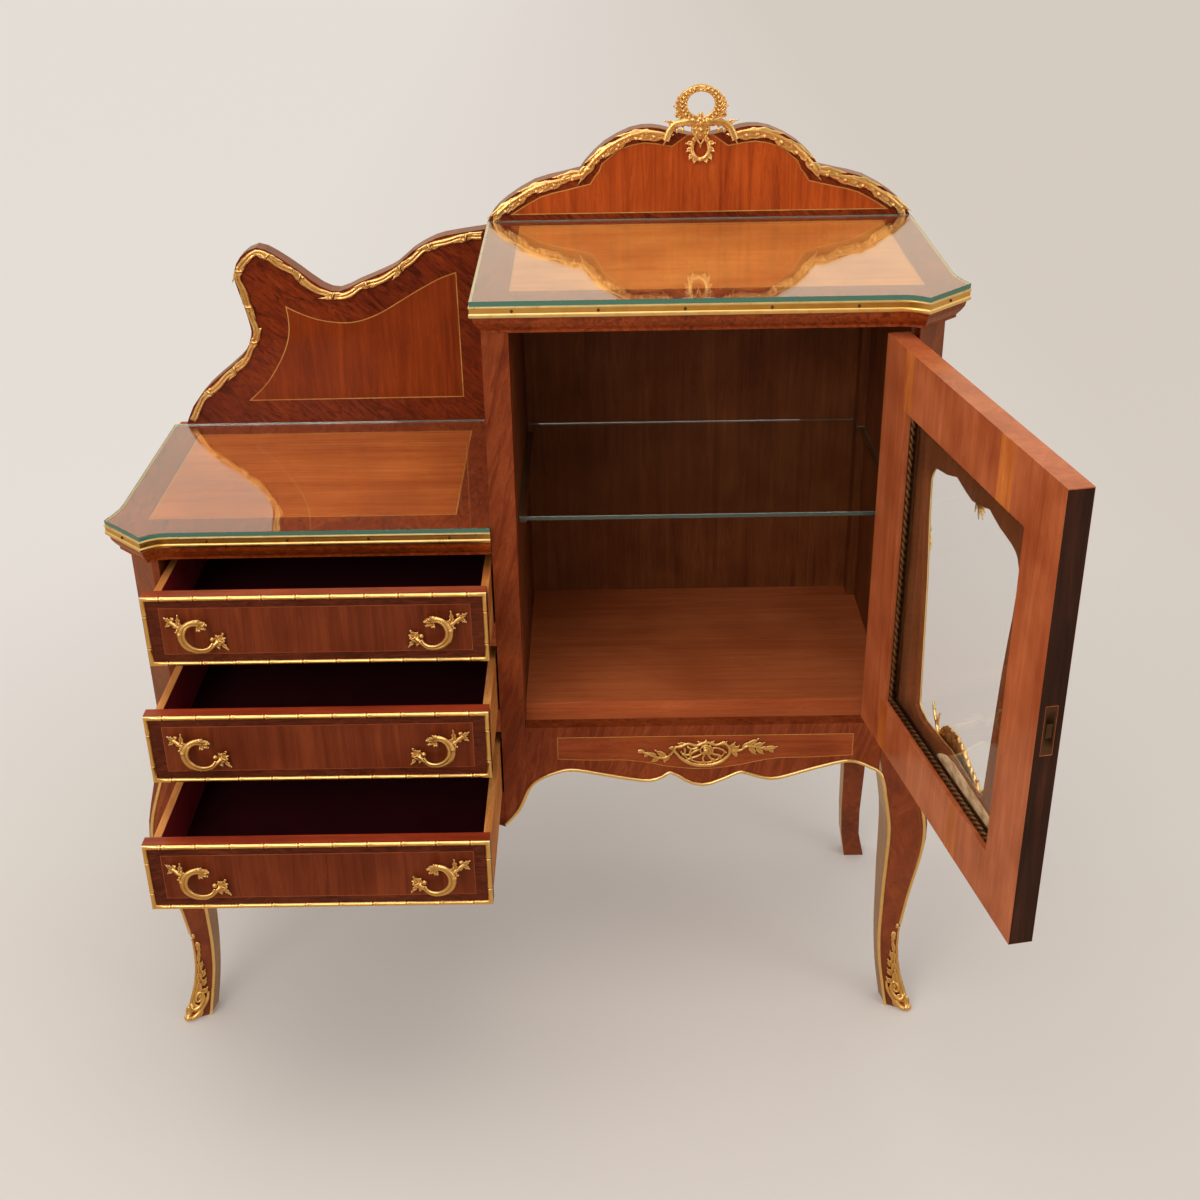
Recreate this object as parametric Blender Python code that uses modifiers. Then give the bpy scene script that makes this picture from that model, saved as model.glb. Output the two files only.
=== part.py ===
# Display chest: a low case of three drawers joined to a taller glazed cabinet, on cabriole legs.
# Metres, +Z up. The pieces are modelled closed, in a frame where X=0 is the cabinet's left face,
# Y=0 its front plane and Z=0 the floor. The root empty then centres the whole on its footprint.

import math

import bmesh
import bpy
from mathutils import Matrix, Vector

# Clearances
GAP = 0.0003
DRAWER_PLAY = 0.0015
RUNNER_PLAY = 0.0005
FRONT_PLAY_BELOW = 0.0012
FRONT_PLAY_ABOVE = 0.0013

# How far a cutter reaches past what it cuts
CUT_MARGIN = 0.01
LONG_CUT_MARGIN = 0.05

# Cases
CABINET_WIDTH = 0.592
DRAWER_CASE_WIDTH = 0.498
CASE_DEPTH = 0.418
TALL_HEIGHT = 1.150
LOW_HEIGHT = 0.842
POST_WIDTH = 0.047
POST_DEPTH = 0.060
REAR_POST_DEPTH = 0.046
CORNER_CANT = 0.038
PARTITION_THICKNESS = 0.0345
SIDE_THICKNESS = 0.0345
BACK_THICKNESS = 0.010
BACK_INSET = 0.004
HINGE_REBATE_WIDTH = 0.008
HINGE_REBATE_DEPTH = 0.016

# Tops
GLASS_THICKNESS = 0.0065
TOP_THICKNESS = 0.0377
TOP_FRONT_OVERHANG = 0.0145
TOP_SIDE_OVERHANG = 0.015
TOP_STEP_OVERHANG = 0.012
TOP_PANEL_INSET = 0.003
TOP_COVE_DEPTH = 0.0095
BAND_HEIGHT = 0.0147
BAND_PROUD = 0.0012
BACKBOARD_THICKNESS = 0.028
CORNER_FLARE_FRONT = 0.014
CORNER_FLARE_SIDE = 0.012
FLARE_FRONT_LENGTH = 0.031
FLARE_SIDE_LENGTH = 0.054
CORNER_FRONT_SETBACK = 0.050
CORNER_SIDE_SETBACK = 0.0455

# Cabinet
CABINET_FLOOR_HEIGHT = 0.535
FLOOR_STEP = 0.0145
FLOOR_FRONT = 0.0465
FLOOR_THICKNESS = 0.035
APRON_THICKNESS = 0.022
SHELF_HEIGHT = 0.829
SHELF_THICKNESS = 0.006
SHELF_FRONT = 0.049
SHELF_PLAY = 0.001
SHELF_REST_WIDTH = 0.010
SHELF_REST_HEIGHT = 0.008

# Drawers
DRAWER_OPENING = 0.104
DRAWER_HEIGHT_PLAY = 0.0025
RAIL_HEIGHT = 0.036
RAIL_DEPTH = 0.030
DUST_BOARD = 0.012
DRAWER_FRONT = 0.018
DRAWER_SIDE = 0.010
DRAWER_SIDE_HEIGHT = 0.082
DRAWER_BOTTOM = 0.005
DRAWER_BOTTOM_RISE = 0.006
DRAWER_LENGTH = 0.370
DRAWER_EXTENSIONS = (0.106, 0.171, 0.259)
BORDER_WIDTH = 0.0062
BORDER_PROUD = 0.0030
HANDLE_INSET = 0.067
HANDLE_STANDOFF = 0.017

# Door
DOOR_WIDTH = 0.508
DOOR_THICKNESS = 0.029
DOOR_RECESS = 0.016
DOOR_SILL_PLAY = 0.0085
DOOR_HEAD_PLAY = 0.0095
DOOR_EDGE_GAP = 0.001
DOOR_STILE = 0.080
DOOR_LOCK_STILE = 0.0826
DOOR_BOTTOM_RAIL = 0.0718
DOOR_TOP_RAIL = 0.078
DOOR_FACE_THICKNESS = 0.008
DOOR_GLASS = 0.004
BEAD_WIDTH = 0.007
BEAD_DEPTH = 0.011
DOOR_OPEN_ANGLE = 100.6
PIN_RADIUS = 0.0016
PIN_PLAY = 0.0003
KNUCKLE_RADIUS = 0.0035
KNUCKLE_SETBACK = 0.0045
HINGE_LENGTH = 0.050
HINGE_KNUCKLE = 0.016
HINGE_FROM_END = 0.051
LEAF_THICKNESS = 0.0012
LEAF_WIDTH = 0.018
LOCK_ABOVE_MIDDLE = 0.0025
LOCK_LENGTH = 0.060
LOCK_DEPTH = 0.040
LOCK_THICKNESS = 0.013
BOLT_LENGTH = 0.022
BOLT_HEIGHT = 0.018
BOLT_THICKNESS = 0.007
BOLT_THROW = 0.008
BOLT_PLAY = 0.0004

# Mounts
GILT_RADIUS = 0.005
WOOD_MARGIN = 0.0028
WREATH_RADIUS = 0.0285
WREATH_TUBE = 0.006
WREATH_RISE = 0.051
SABOT_HEIGHT = 0.040
SABOT_THICKNESS = 0.002
SABOT_REACH = 0.004
SABOT_LEAF_HEIGHT = 0.155
SABOT_LEAF_RADIUS = 0.0042
BORDER_THIN = 0.4
KNOT_RADII = (0.012, 0.010)
OVAL_RADII = (0.0125, 0.0165)
OVAL_TUBE = 0.0032
OVAL_BELOW_KNOT = 0.026
RIBBON_RADIUS = 0.0045
APRON_MOUNT_DROP = 0.045
APRON_OVAL_RADII = (0.030, 0.0185)
APRON_OVAL_TUBE = 0.0030
APRON_BOSS_RADII = (0.0095, 0.0045, 0.0085)
APRON_SPOKE = 0.0026
APRON_LEAF = 0.0040
SHELL_FROM_HINGE = 0.262
SHELL_ABOVE_RAIL = 0.008
SHELL_RADII = (0.052, 0.0030, 0.018)
SHELL_WEB_RADII = (0.054, 0.0024, 0.016)

# Heights and planes worked out from the sizes above
TALL_PANEL_TOP = TALL_HEIGHT - GLASS_THICKNESS - GAP
TALL_PANEL_BOTTOM = TALL_PANEL_TOP - TOP_THICKNESS
LOW_PANEL_TOP = LOW_HEIGHT - GLASS_THICKNESS - GAP
LOW_PANEL_BOTTOM = LOW_PANEL_TOP - TOP_THICKNESS
LEFT_FACE = -DRAWER_CASE_WIDTH
BACKBOARD_FRONT = CASE_DEPTH - BACKBOARD_THICKNESS
REAR_POST_FRONT = CASE_DEPTH - REAR_POST_DEPTH
BACK_FRONT = CASE_DEPTH - BACK_INSET - BACK_THICKNESS
BACK_REAR = CASE_DEPTH - BACK_INSET
RIGHT_POST_INNER = CABINET_WIDTH - POST_WIDTH
LEFT_POST_INNER = LEFT_FACE + POST_WIDTH
RIGHT_SIDE_INNER = CABINET_WIDTH - SIDE_THICKNESS
APRON_TOP = CABINET_FLOOR_HEIGHT - FLOOR_STEP
LEDGE_FRONT = APRON_THICKNESS + GAP
FLOOR_UNDERSIDE = CABINET_FLOOR_HEIGHT - FLOOR_THICKNESS
OPENING_PITCH = DRAWER_OPENING + RAIL_HEIGHT
OPENING_FLOORS = [
    LOW_PANEL_BOTTOM - DRAWER_HEIGHT_PLAY - DRAWER_OPENING - row * OPENING_PITCH for row in range(3)
]
CASE_FLOOR = OPENING_FLOORS[2]
CASE_UNDERSIDE = CASE_FLOOR - RAIL_HEIGHT
DOOR_RIGHT = RIGHT_POST_INNER - DOOR_EDGE_GAP
DOOR_LEFT = DOOR_RIGHT - DOOR_WIDTH
DOOR_BACK = DOOR_RECESS + DOOR_THICKNESS
DOOR_BOTTOM = APRON_TOP + DOOR_SILL_PLAY
DOOR_TOP = TALL_PANEL_BOTTOM - DOOR_HEAD_PLAY
LOCK_HEIGHT = (DOOR_BOTTOM + DOOR_TOP) / 2 + LOCK_ABOVE_MIDDLE
GLAZED_LEFT = DOOR_LEFT + DOOR_LOCK_STILE
GLAZED_RIGHT = DOOR_RIGHT - DOOR_STILE
GLAZED_BOTTOM = DOOR_BOTTOM + DOOR_BOTTOM_RAIL
GLAZED_TOP = DOOR_TOP - DOOR_TOP_RAIL
PIN_X = RIGHT_POST_INNER + DOOR_EDGE_GAP
PIN_Y = DOOR_RECESS - KNUCKLE_SETBACK
CREST_HALF_WIDTH = (CABINET_WIDTH + TOP_SIDE_OVERHANG + TOP_STEP_OVERHANG) / 2 + 0.0015
CREST_CENTRE = (CABINET_WIDTH + TOP_SIDE_OVERHANG - TOP_STEP_OVERHANG) / 2

# Lower edge of the front apron: distance right of the partition's left face, drop below the apron's top
ARCH = [
    (0.000, 0.1655),
    (0.006, 0.1585),
    (0.022, 0.1375),
    (0.035, 0.1065),
    (0.045, 0.0925),
    (0.060, 0.0825),
    (0.083, 0.0738),
    (0.108, 0.0725),
    (0.162, 0.0840),
    (0.213, 0.0918),
    (0.2416, 0.0785),
    (0.288, 0.1005),
    (0.336, 0.0820),
    (0.350, 0.0805),
    (0.389, 0.0915),
    (0.437, 0.0785),
    (0.490, 0.0640),
    (0.515, 0.0662),
    (0.545, 0.0830),
]
ARCH_CORNERS = (0.2416,)

# Lower edge of the apron under the drawers: distance left of the partition, drop below the case's underside
LOW_APRON = [
    (0.000, 0.025),
    (0.060, 0.003),
    (0.110, -0.008),
    (0.170, -0.004),
    (0.225, 0.005),
    (0.280, -0.004),
    (0.340, -0.008),
    (0.400, 0.003),
    (0.451, 0.008),
]

# Lower edge of a side panel: distance behind the front post, drop below its highest point
SIDE_ARCH = [
    (0.000, 0.030),
    (0.022, 0.012),
    (0.058, 0.000),
    (0.110, 0.008),
    (0.156, 0.018),
    (0.202, 0.008),
    (0.254, 0.000),
    (0.290, 0.012),
    (0.312, 0.030),
]
SIDE_ARCH_RISE = 0.060

# Half of the crest's top edge: distance from its middle, height above the cabinet top
CREST = [
    (0.000, 0.1185),
    (0.045, 0.1285),
    (0.070, 0.1335),
    (0.100, 0.1300),
    (0.137, 0.1115),
    (0.162, 0.0885),
    (0.172, 0.0750),
    (0.200, 0.0685),
    (0.240, 0.0585),
    (0.280, 0.0355),
    (0.300, 0.0175),
    (0.311, 0.0000),
]
CREST_CORNERS = (0.172,)

# Top edge of the low backboard: distance left of the partition, height above the low panel
SCROLL = [
    (0.4930, 0.000),
    (0.4780, 0.033),
    (0.4490, 0.066),
    (0.4155, 0.093),
    (0.3880, 0.118),
    (0.3750, 0.145),
    (0.3745, 0.163),
    (0.3810, 0.196),
    (0.3890, 0.229),
    (0.3880, 0.247),
    (0.3780, 0.265),
    (0.3550, 0.278),
    (0.3300, 0.267),
    (0.2985, 0.244),
    (0.2655, 0.218),
    (0.2385, 0.210),
    (0.2070, 0.223),
    (0.1695, 0.238),
    (0.1460, 0.250),
    (0.1220, 0.270),
    (0.0985, 0.283),
    (0.0760, 0.291),
    (0.0300, 0.298),
    (0.0000, 0.302),
]

# Sections of a front leg from the floor up. Each has its height, then five corners as distance in
# from the side face and distance behind the front plane: inner front, the two of the ridge,
# outer back, inner back
LEG_SECTIONS = [
    (0.000, (0.009, -0.002), (-0.022, -0.014), (-0.028, -0.006), (-0.020, 0.030), (0.015, 0.028)),
    (0.040, (0.015, 0.004), (-0.010, -0.004), (-0.016, 0.002), (-0.012, 0.036), (0.021, 0.036)),
    (0.080, (0.021, 0.010), (-0.002, 0.004), (-0.008, 0.009), (-0.006, 0.042), (0.025, 0.043)),
    (0.130, (0.025, 0.010), (-0.001, 0.006), (-0.006, 0.012), (-0.004, 0.046), (0.028, 0.047)),
    (0.180, (0.026, 0.006), (-0.004, 0.001), (-0.010, 0.008), (-0.006, 0.048), (0.029, 0.050)),
    (0.240, (0.027, -0.001), (-0.010, -0.008), (-0.017, 0.000), (-0.010, 0.052), (0.030, 0.054)),
    (0.300, (0.027, -0.008), (-0.016, -0.018), (-0.026, -0.008), (-0.014, 0.058), (0.030, 0.058)),
    (0.350, (0.028, -0.010), (-0.016, -0.020), (-0.028, -0.009), (-0.016, 0.060), (0.032, 0.060)),
    (0.400, (0.036, -0.006), (-0.004, -0.014), (-0.020, 0.000), (-0.012, 0.060), (0.040, 0.060)),
    (0.460, (0.047, -0.001), (0.022, -0.004), (-0.008, 0.024), (-0.006, 0.060), (0.047, 0.060)),
    (
        0.5205,
        (POST_WIDTH, 0.0),
        (CORNER_CANT, 0.0),
        (0.0, CORNER_CANT),
        (0.0, POST_DEPTH),
        (POST_WIDTH, POST_DEPTH),
    ),
]
LEFT_LEG_INSET = 0.008
LEG_STEPS = 2

# Sections of a rear leg from the floor up: height, distances of its outer and inner faces from the
# side face, distances of its front and back faces from the case's rear plane
REAR_SECTIONS = [
    (0.000, -0.015, 0.019, 0.030, 0.000),
    (0.050, -0.004, 0.027, 0.034, 0.003),
    (0.100, -0.002, 0.030, 0.038, 0.005),
    (0.190, -0.005, 0.031, 0.040, 0.004),
    (0.300, -0.004, 0.036, 0.042, 0.000),
    (0.440, -0.001, 0.041, 0.046, 0.000),
    (0.500, 0.000, POST_WIDTH, REAR_POST_DEPTH, 0.000),
]

# Path of a drawer handle's scroll, seen from the front and from its centre: right, up, off the face
HANDLE_SCROLL = [
    (0.0124, 0.0142, 0.0080, 1.00),
    (0.0049, 0.0148, 0.0105, 1.10),
    (-0.0052, 0.0168, 0.0130, 1.00),
    (-0.0125, 0.0145, 0.0145, 1.05),
    (-0.0180, 0.0070, 0.0160, 1.15),
    (-0.0194, -0.0030, 0.0170, 1.15),
    (-0.0158, -0.0140, 0.0170, 1.10),
    (-0.0086, -0.0226, 0.0165, 1.00),
    (0.0016, -0.0266, 0.0150, 0.95),
    (0.0117, -0.0262, 0.0130, 0.90),
    (0.0191, -0.0218, 0.0105, 0.95),
    (0.0250, -0.0155, 0.0075, 1.10),
    (0.0300, -0.0115, 0.0050, 1.20),
]
HANDLE_SPRAY = [
    (-0.0160, 0.0110, 0.0145, 0.90),
    (-0.0235, 0.0125, 0.0105, 1.00),
    (-0.0310, 0.0155, 0.0065, 1.20),
    (-0.0385, 0.0190, 0.0045, 0.90),
]
HANDLE_LEAF = (0.0300, -0.0125, 0.0090, 0.0110, 0.0036)
HANDLE_TUBE = 0.0036

# Heights of a sabot's leaf chain as shares of its top, and shares of its radius
SABOT_LEAF = [(0.155, 1.0), (0.26, 1.0), (0.45, 0.95), (0.65, 0.8), (0.84, 0.65), (1.0, 0.45)]

# A ribbon of the wreath from the knot outwards: across, up, share of its radius
RIBBON = [(0.006, 0.001, 1.2), (0.022, 0.005, 1.2), (0.036, 0.001, 1.0), (0.051, -0.014, 0.7)]

# Sprays of the apron mount: right of its middle, up, share of the radius
LEFT_SPRAY = [
    (-0.029, 0.007, 0.9),
    (-0.050, 0.001, 1.1),
    (-0.062, 0.005, 1.3),
    (-0.079, 0.004, 1.2),
    (-0.094, 0.007, 0.7),
]
RIGHT_SPRAY = [
    (0.029, 0.005, 0.9),
    (0.049, 0.005, 1.2),
    (0.063, 0.012, 1.2),
    (0.072, 0.007, 1.4),
    (0.088, 0.006, 1.3),
    (0.107, 0.006, 0.6),
]
SPOKE = [(0.004, 0.004, 1.0), (0.013, -0.006, 0.8), (0.017, -0.015, 0.8)]

# Rim and leaf of the shell mount on the closed door: right of its middle, up
SHELL_RIM = [
    (0.060, -0.008),
    (0.056, 0.012),
    (0.036, 0.027),
    (0.006, 0.031),
    (-0.024, 0.022),
    (-0.052, 0.012),
    (-0.080, 0.003),
    (-0.091, 0.006),
]
SHELL_LEAF = [(0.056, -0.004), (0.066, 0.010), (0.074, 0.024), (0.086, 0.032)]

FINISHES = {
    "figured_rosewood": ((0.165, 0.040, 0.016, 1.0), 0.28, 0.0),
    "red_mahogany": ((0.230, 0.062, 0.026, 1.0), 0.32, 0.0),
    "dark_mahogany": ((0.090, 0.024, 0.014, 1.0), 0.40, 0.0),
    "pale_beech": ((0.500, 0.270, 0.120, 1.0), 0.50, 0.0),
    "gilt_brass": ((0.800, 0.520, 0.180, 1.0), 0.25, 1.0),
    "aged_brass": ((0.250, 0.170, 0.090, 1.0), 0.45, 1.0),
    "clear_glass": ((0.720, 0.860, 0.800, 1.0), 0.03, 0.0),
}


# Scene and finishing


def clear_scene():
    for obj in list(bpy.data.objects):
        bpy.data.objects.remove(obj, do_unlink=True)


def new_collection(name):
    collection = bpy.data.collections.new(name)
    bpy.context.scene.collection.children.link(collection)
    return collection


def make_material(name, finish):
    colour, roughness, metallic = FINISHES[finish]
    material = bpy.data.materials.new(name)
    material.use_nodes = True
    shader = material.node_tree.nodes["Principled BSDF"]
    shader.inputs["Base Color"].default_value = colour
    shader.inputs["Roughness"].default_value = roughness
    shader.inputs["Metallic"].default_value = metallic
    return material


def make_empty(name, location, parent=None):
    empty = bpy.data.objects.new(name, None)
    empty.empty_display_size = 0.05
    empty.location = location
    guides.objects.link(empty)
    if parent:
        attach(empty, parent)
    bpy.context.view_layer.update()
    return empty


def attach(obj, parent):
    # Parented in place, as Ctrl+P does
    bpy.context.view_layer.update()
    obj.parent = parent
    obj.matrix_parent_inverse = parent.matrix_world.inverted()


def finish_part(obj, finish, parent=None):
    obj.data.materials.clear()
    obj.data.materials.append(make_material(obj.name + "_finish", finish))
    guides.objects.unlink(obj)
    parts.objects.link(obj)
    attach(obj, parent or root)
    return obj


# Shapes


def object_from(name, mesh, matrix=None):
    obj = bpy.data.objects.new(name, mesh)
    obj.matrix_world = matrix or Matrix.Identity(4)
    guides.objects.link(obj)
    return obj


def from_bmesh(name, bm, matrix=None):
    bmesh.ops.recalc_face_normals(bm, faces=bm.faces)
    mesh = bpy.data.meshes.new(name)
    bm.to_mesh(mesh)
    bm.free()
    return object_from(name, mesh, matrix)


def box(name, low, high):
    low, high = Vector(low), Vector(high)
    bm = bmesh.new()
    bmesh.ops.create_cube(bm, size=1.0, matrix=Matrix.Diagonal((*(high - low), 1.0)))
    return from_bmesh(name, bm, Matrix.Translation((low + high) / 2))


def rod(name, centre, radius, length, segments=16):
    bm = bmesh.new()
    bmesh.ops.create_cone(
        bm, cap_ends=True, segments=segments, radius1=radius, radius2=radius, depth=length
    )
    return from_bmesh(name, bm, Matrix.Translation(centre))


def blob(name, centre, radii, segments=12, rings=7):
    bm = bmesh.new()
    bmesh.ops.create_uvsphere(
        bm, u_segments=segments, v_segments=rings, radius=1.0, matrix=Matrix.Diagonal((*radii, 1.0))
    )
    return from_bmesh(name, bm, Matrix.Translation(centre))


def curve_to_mesh(curve_object):
    bpy.context.view_layer.update()
    depsgraph = bpy.context.evaluated_depsgraph_get()
    mesh = bpy.data.meshes.new_from_object(curve_object.evaluated_get(depsgraph))
    bm = bmesh.new()
    bm.from_mesh(mesh)
    bpy.data.meshes.remove(mesh)
    bmesh.ops.remove_doubles(bm, verts=bm.verts, dist=0.00001)
    name = curve_object.name
    matrix = curve_object.matrix_world.copy()
    bpy.data.objects.remove(curve_object, do_unlink=True)
    return from_bmesh(name, bm, matrix)


def plane_matrix(plane, middle):
    # Local X and Y become the plane's two letters, and local Z the third axis
    if plane == "XZ":
        return Matrix.Translation((0.0, middle, 0.0)) @ Matrix.Rotation(math.pi / 2, 4, "X")
    if plane == "YZ":
        turn = Matrix(((0, 0, 1, 0), (1, 0, 0, 0), (0, 1, 0, 0), (0, 0, 0, 1)))
        return Matrix.Translation((middle, 0.0, 0.0)) @ turn
    return Matrix.Translation((0.0, 0.0, middle))


def outline_solid(name, loops, plane, low, high):
    # The first loop is the outline and the others are holes in it
    curve = bpy.data.curves.new(name, "CURVE")
    curve.dimensions = "2D"
    curve.fill_mode = "BOTH"
    curve.extrude = (high - low) / 2
    for loop in loops:
        spline = curve.splines.new("POLY")
        spline.points.add(len(loop) - 1)
        spline.use_cyclic_u = True
        for point, (x, y) in zip(spline.points, loop):
            point.co = (x, y, 0.0, 1.0)
    obj = bpy.data.objects.new(name, curve)
    guides.objects.link(obj)
    obj.matrix_world = plane_matrix(plane, (low + high) / 2)
    return curve_to_mesh(obj)


def tube(name, path, radius, smoothness=2, steps=2, closed=False):
    # Each point of the path is x, y, z and its share of the radius
    curve = bpy.data.curves.new(name, "CURVE")
    curve.dimensions = "3D"
    curve.bevel_depth = radius
    curve.bevel_resolution = smoothness
    curve.use_fill_caps = True
    curve.resolution_u = steps
    spline = curve.splines.new("BEZIER")
    spline.bezier_points.add(len(path) - 1)
    spline.use_cyclic_u = closed
    for point, (x, y, z, share) in zip(spline.bezier_points, path):
        point.co = (x, y, z)
        point.radius = share
        point.handle_left_type = "AUTO"
        point.handle_right_type = "AUTO"
    obj = bpy.data.objects.new(name, curve)
    guides.objects.link(obj)
    return curve_to_mesh(obj)


def loft(name, rings):
    # A closed skin over rings that have the same number of points
    bm = bmesh.new()
    loops = [[bm.verts.new(point) for point in ring] for ring in rings]
    count = len(rings[0])
    for lower, upper in zip(loops, loops[1:]):
        for i in range(count):
            j = (i + 1) % count
            bm.faces.new((lower[i], lower[j], upper[j], upper[i]))
    bm.faces.new(loops[0])
    bm.faces.new(loops[-1])
    return from_bmesh(name, bm)


def add_boolean(target, tool, operation):
    bpy.context.view_layer.update()
    tool.hide_render = True
    tool.display_type = "WIRE"
    attach(tool, target)
    modifier = target.modifiers.new(tool.name, "BOOLEAN")
    modifier.operation = operation
    modifier.solver = "EXACT"
    modifier.object = tool
    return target


def cut(target, *tools):
    for tool in tools:
        add_boolean(target, tool, "DIFFERENCE")
    return target


def join(target, *tools):
    for tool in tools:
        add_boolean(target, tool, "UNION")
    return target


def keep_inside(target, tool):
    return add_boolean(target, tool, "INTERSECT")


def round_edges(obj, width, segments=1):
    bevel = obj.modifiers.new("rounded_edges", "BEVEL")
    bevel.width = width
    bevel.segments = segments
    bevel.limit_method = "ANGLE"
    bevel.angle_limit = math.radians(50)
    return obj


# Outlines


def stretched(points, length):
    # The same outline over another length
    share = length / points[-1][0]
    return [(x * share, *rest) for x, *rest in points]


def smooth(points, corners=(), steps=2):
    # A round line through the points, with sharp turns at the corners
    result = []
    last = len(points) - 1
    for i in range(last):
        start, end = Vector(points[i]), Vector(points[i + 1])
        before = Vector(points[i - 1]) if i > 0 and i not in corners else start
        after = Vector(points[i + 2]) if i + 2 <= last and i + 1 not in corners else end
        for step in range(steps):
            t = step / steps
            result.append(
                0.5
                * (
                    2 * start
                    + (end - before) * t
                    + (2 * before - 5 * start + 4 * end - after) * t**2
                    + (3 * start - before - 3 * end + after) * t**3
                )
            )
    result.append(Vector(points[last]))
    return [tuple(point) for point in result]


def corner_indexes(points, places):
    # The points of a table whose first value is one of the places
    return tuple(i for i, point in enumerate(points) if point[0] in places)


def offset_path(path, distance):
    # Moves an open path to its right-hand side, with mitred corners
    points = [Vector(point) for point in path]
    normals = []
    for start, end in zip(points, points[1:]):
        along = (end - start).normalized()
        normals.append(Vector((along.y, -along.x)))
    result = []
    for i, point in enumerate(points):
        before = normals[max(i - 1, 0)]
        after = normals[min(i, len(normals) - 1)]
        mitre = (before + after) / (1.0 + before.dot(after))
        result.append(tuple(point + mitre * distance))
    return result


def at_height(points, z):
    return [(x, y, z) for x, y in points]


# Tops


def top_edge(square_end, side):
    # From the square end along the front, round the canted corner and back along the side
    outward = 1 if side == "right" else -1
    face = CABINET_WIDTH if side == "right" else LEFT_FACE
    side_x = face + outward * TOP_SIDE_OVERHANG
    front_y = -TOP_FRONT_OVERHANG
    corner_front_x = side_x - outward * CORNER_FRONT_SETBACK
    corner_side_y = front_y + CORNER_SIDE_SETBACK
    edge = [(square_end, front_y)]
    for step in range(4):
        t = step / 3
        x = corner_front_x - outward * FLARE_FRONT_LENGTH * (1 - t)
        edge.append((x, front_y - CORNER_FLARE_FRONT * t**2))
    for step in range(4):
        t = step / 3
        x = side_x + outward * CORNER_FLARE_SIDE * (1 - t) ** 2
        edge.append((x, corner_side_y + FLARE_SIDE_LENGTH * t))
    edge.append((side_x, CASE_DEPTH))
    return edge


def build_top(prefix, edge, side, closing, glass_start, panel_top):
    outward = 1 if side == "right" else -1
    foot = TOP_PANEL_INSET + TOP_COVE_DEPTH
    below = TOP_THICKNESS - BAND_HEIGHT
    profile = [
        (TOP_PANEL_INSET, 0.0),
        (TOP_PANEL_INSET, BAND_HEIGHT + below * 0.08),
        (TOP_PANEL_INSET + TOP_COVE_DEPTH * 0.15, BAND_HEIGHT + below * 0.35),
        (TOP_PANEL_INSET + TOP_COVE_DEPTH * 0.55, BAND_HEIGHT + below * 0.62),
        (foot, BAND_HEIGHT + below * 0.85),
        (foot, TOP_THICKNESS),
    ]
    rings = [
        at_height(offset_path(edge, -outward * inset) + closing, panel_top - drop)
        for inset, drop in profile
    ]
    panel = loft(prefix + "_top_panel", rings)
    finish_part(panel, "figured_rosewood")

    outer = offset_path(edge, outward * BAND_PROUD)
    inner = offset_path(edge, -outward * (TOP_PANEL_INSET - GAP))
    band = outline_solid(
        prefix + "_top_brass_edge",
        [outer + inner[::-1]],
        "XY",
        panel_top - BAND_HEIGHT,
        panel_top,
    )
    finish_part(band, "gilt_brass")

    glass_back = BACKBOARD_FRONT - GAP
    glass_edge = edge[:-1] + [(edge[-1][0], glass_back), (glass_start, glass_back)]
    glass = outline_solid(
        prefix + "_top_glass", [glass_edge], "XY", panel_top + GAP, panel_top + GAP + GLASS_THICKNESS
    )
    round_edges(glass, 0.0010, 2)
    finish_part(glass, "clear_glass")


def build_tops():
    step_x = -TOP_STEP_OVERHANG
    tall_edge = [(step_x, BACKBOARD_FRONT)] + top_edge(step_x, "right")
    closing = [(0.0, CASE_DEPTH), (0.0, BACKBOARD_FRONT)]
    build_top("tall", tall_edge, "right", closing, step_x, TALL_PANEL_TOP)
    low_edge = top_edge(-GAP, "left")
    build_top("low", low_edge, "left", [(-GAP, CASE_DEPTH)], -GAP, LOW_PANEL_TOP)


# Backboards


def build_low_backboard():
    base = LOW_PANEL_TOP + GAP
    width = DRAWER_CASE_WIDTH - 0.005
    share = width / SCROLL[0][0]
    gilt_edge = smooth([(-GAP - x * share, base + rise) for x, rise in SCROLL])
    wood_edge = [
        (min(x, -GAP), max(z, base)) for x, z in offset_path(gilt_edge, -WOOD_MARGIN)
    ]
    board = outline_solid(
        "low_backboard",
        [wood_edge + [(-GAP, base)]],
        "XZ",
        BACKBOARD_FRONT,
        CASE_DEPTH,
    )
    finish_part(board, "figured_rosewood")

    border_y = BACKBOARD_FRONT - GAP - GILT_RADIUS
    clear_of_glass = LOW_HEIGHT + GILT_RADIUS + GAP
    clear_of_top = -TOP_STEP_OVERHANG - BAND_PROUD - GILT_RADIUS
    path = [
        (x, border_y, z, 1.0)
        for x, z in offset_path([(-GAP - x * share, base + rise) for x, rise in SCROLL], GILT_RADIUS)
        if z > clear_of_glass and x < clear_of_top
    ]
    border = tube("backboard_gilt_border", path, GILT_RADIUS)
    finish_part(border, "gilt_brass")


def both_ways(half):
    # From the left end over the middle to the right end
    return [(CREST_CENTRE - x, z) for x, z in half[:0:-1]] + [(CREST_CENTRE + x, z) for x, z in half]


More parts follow.
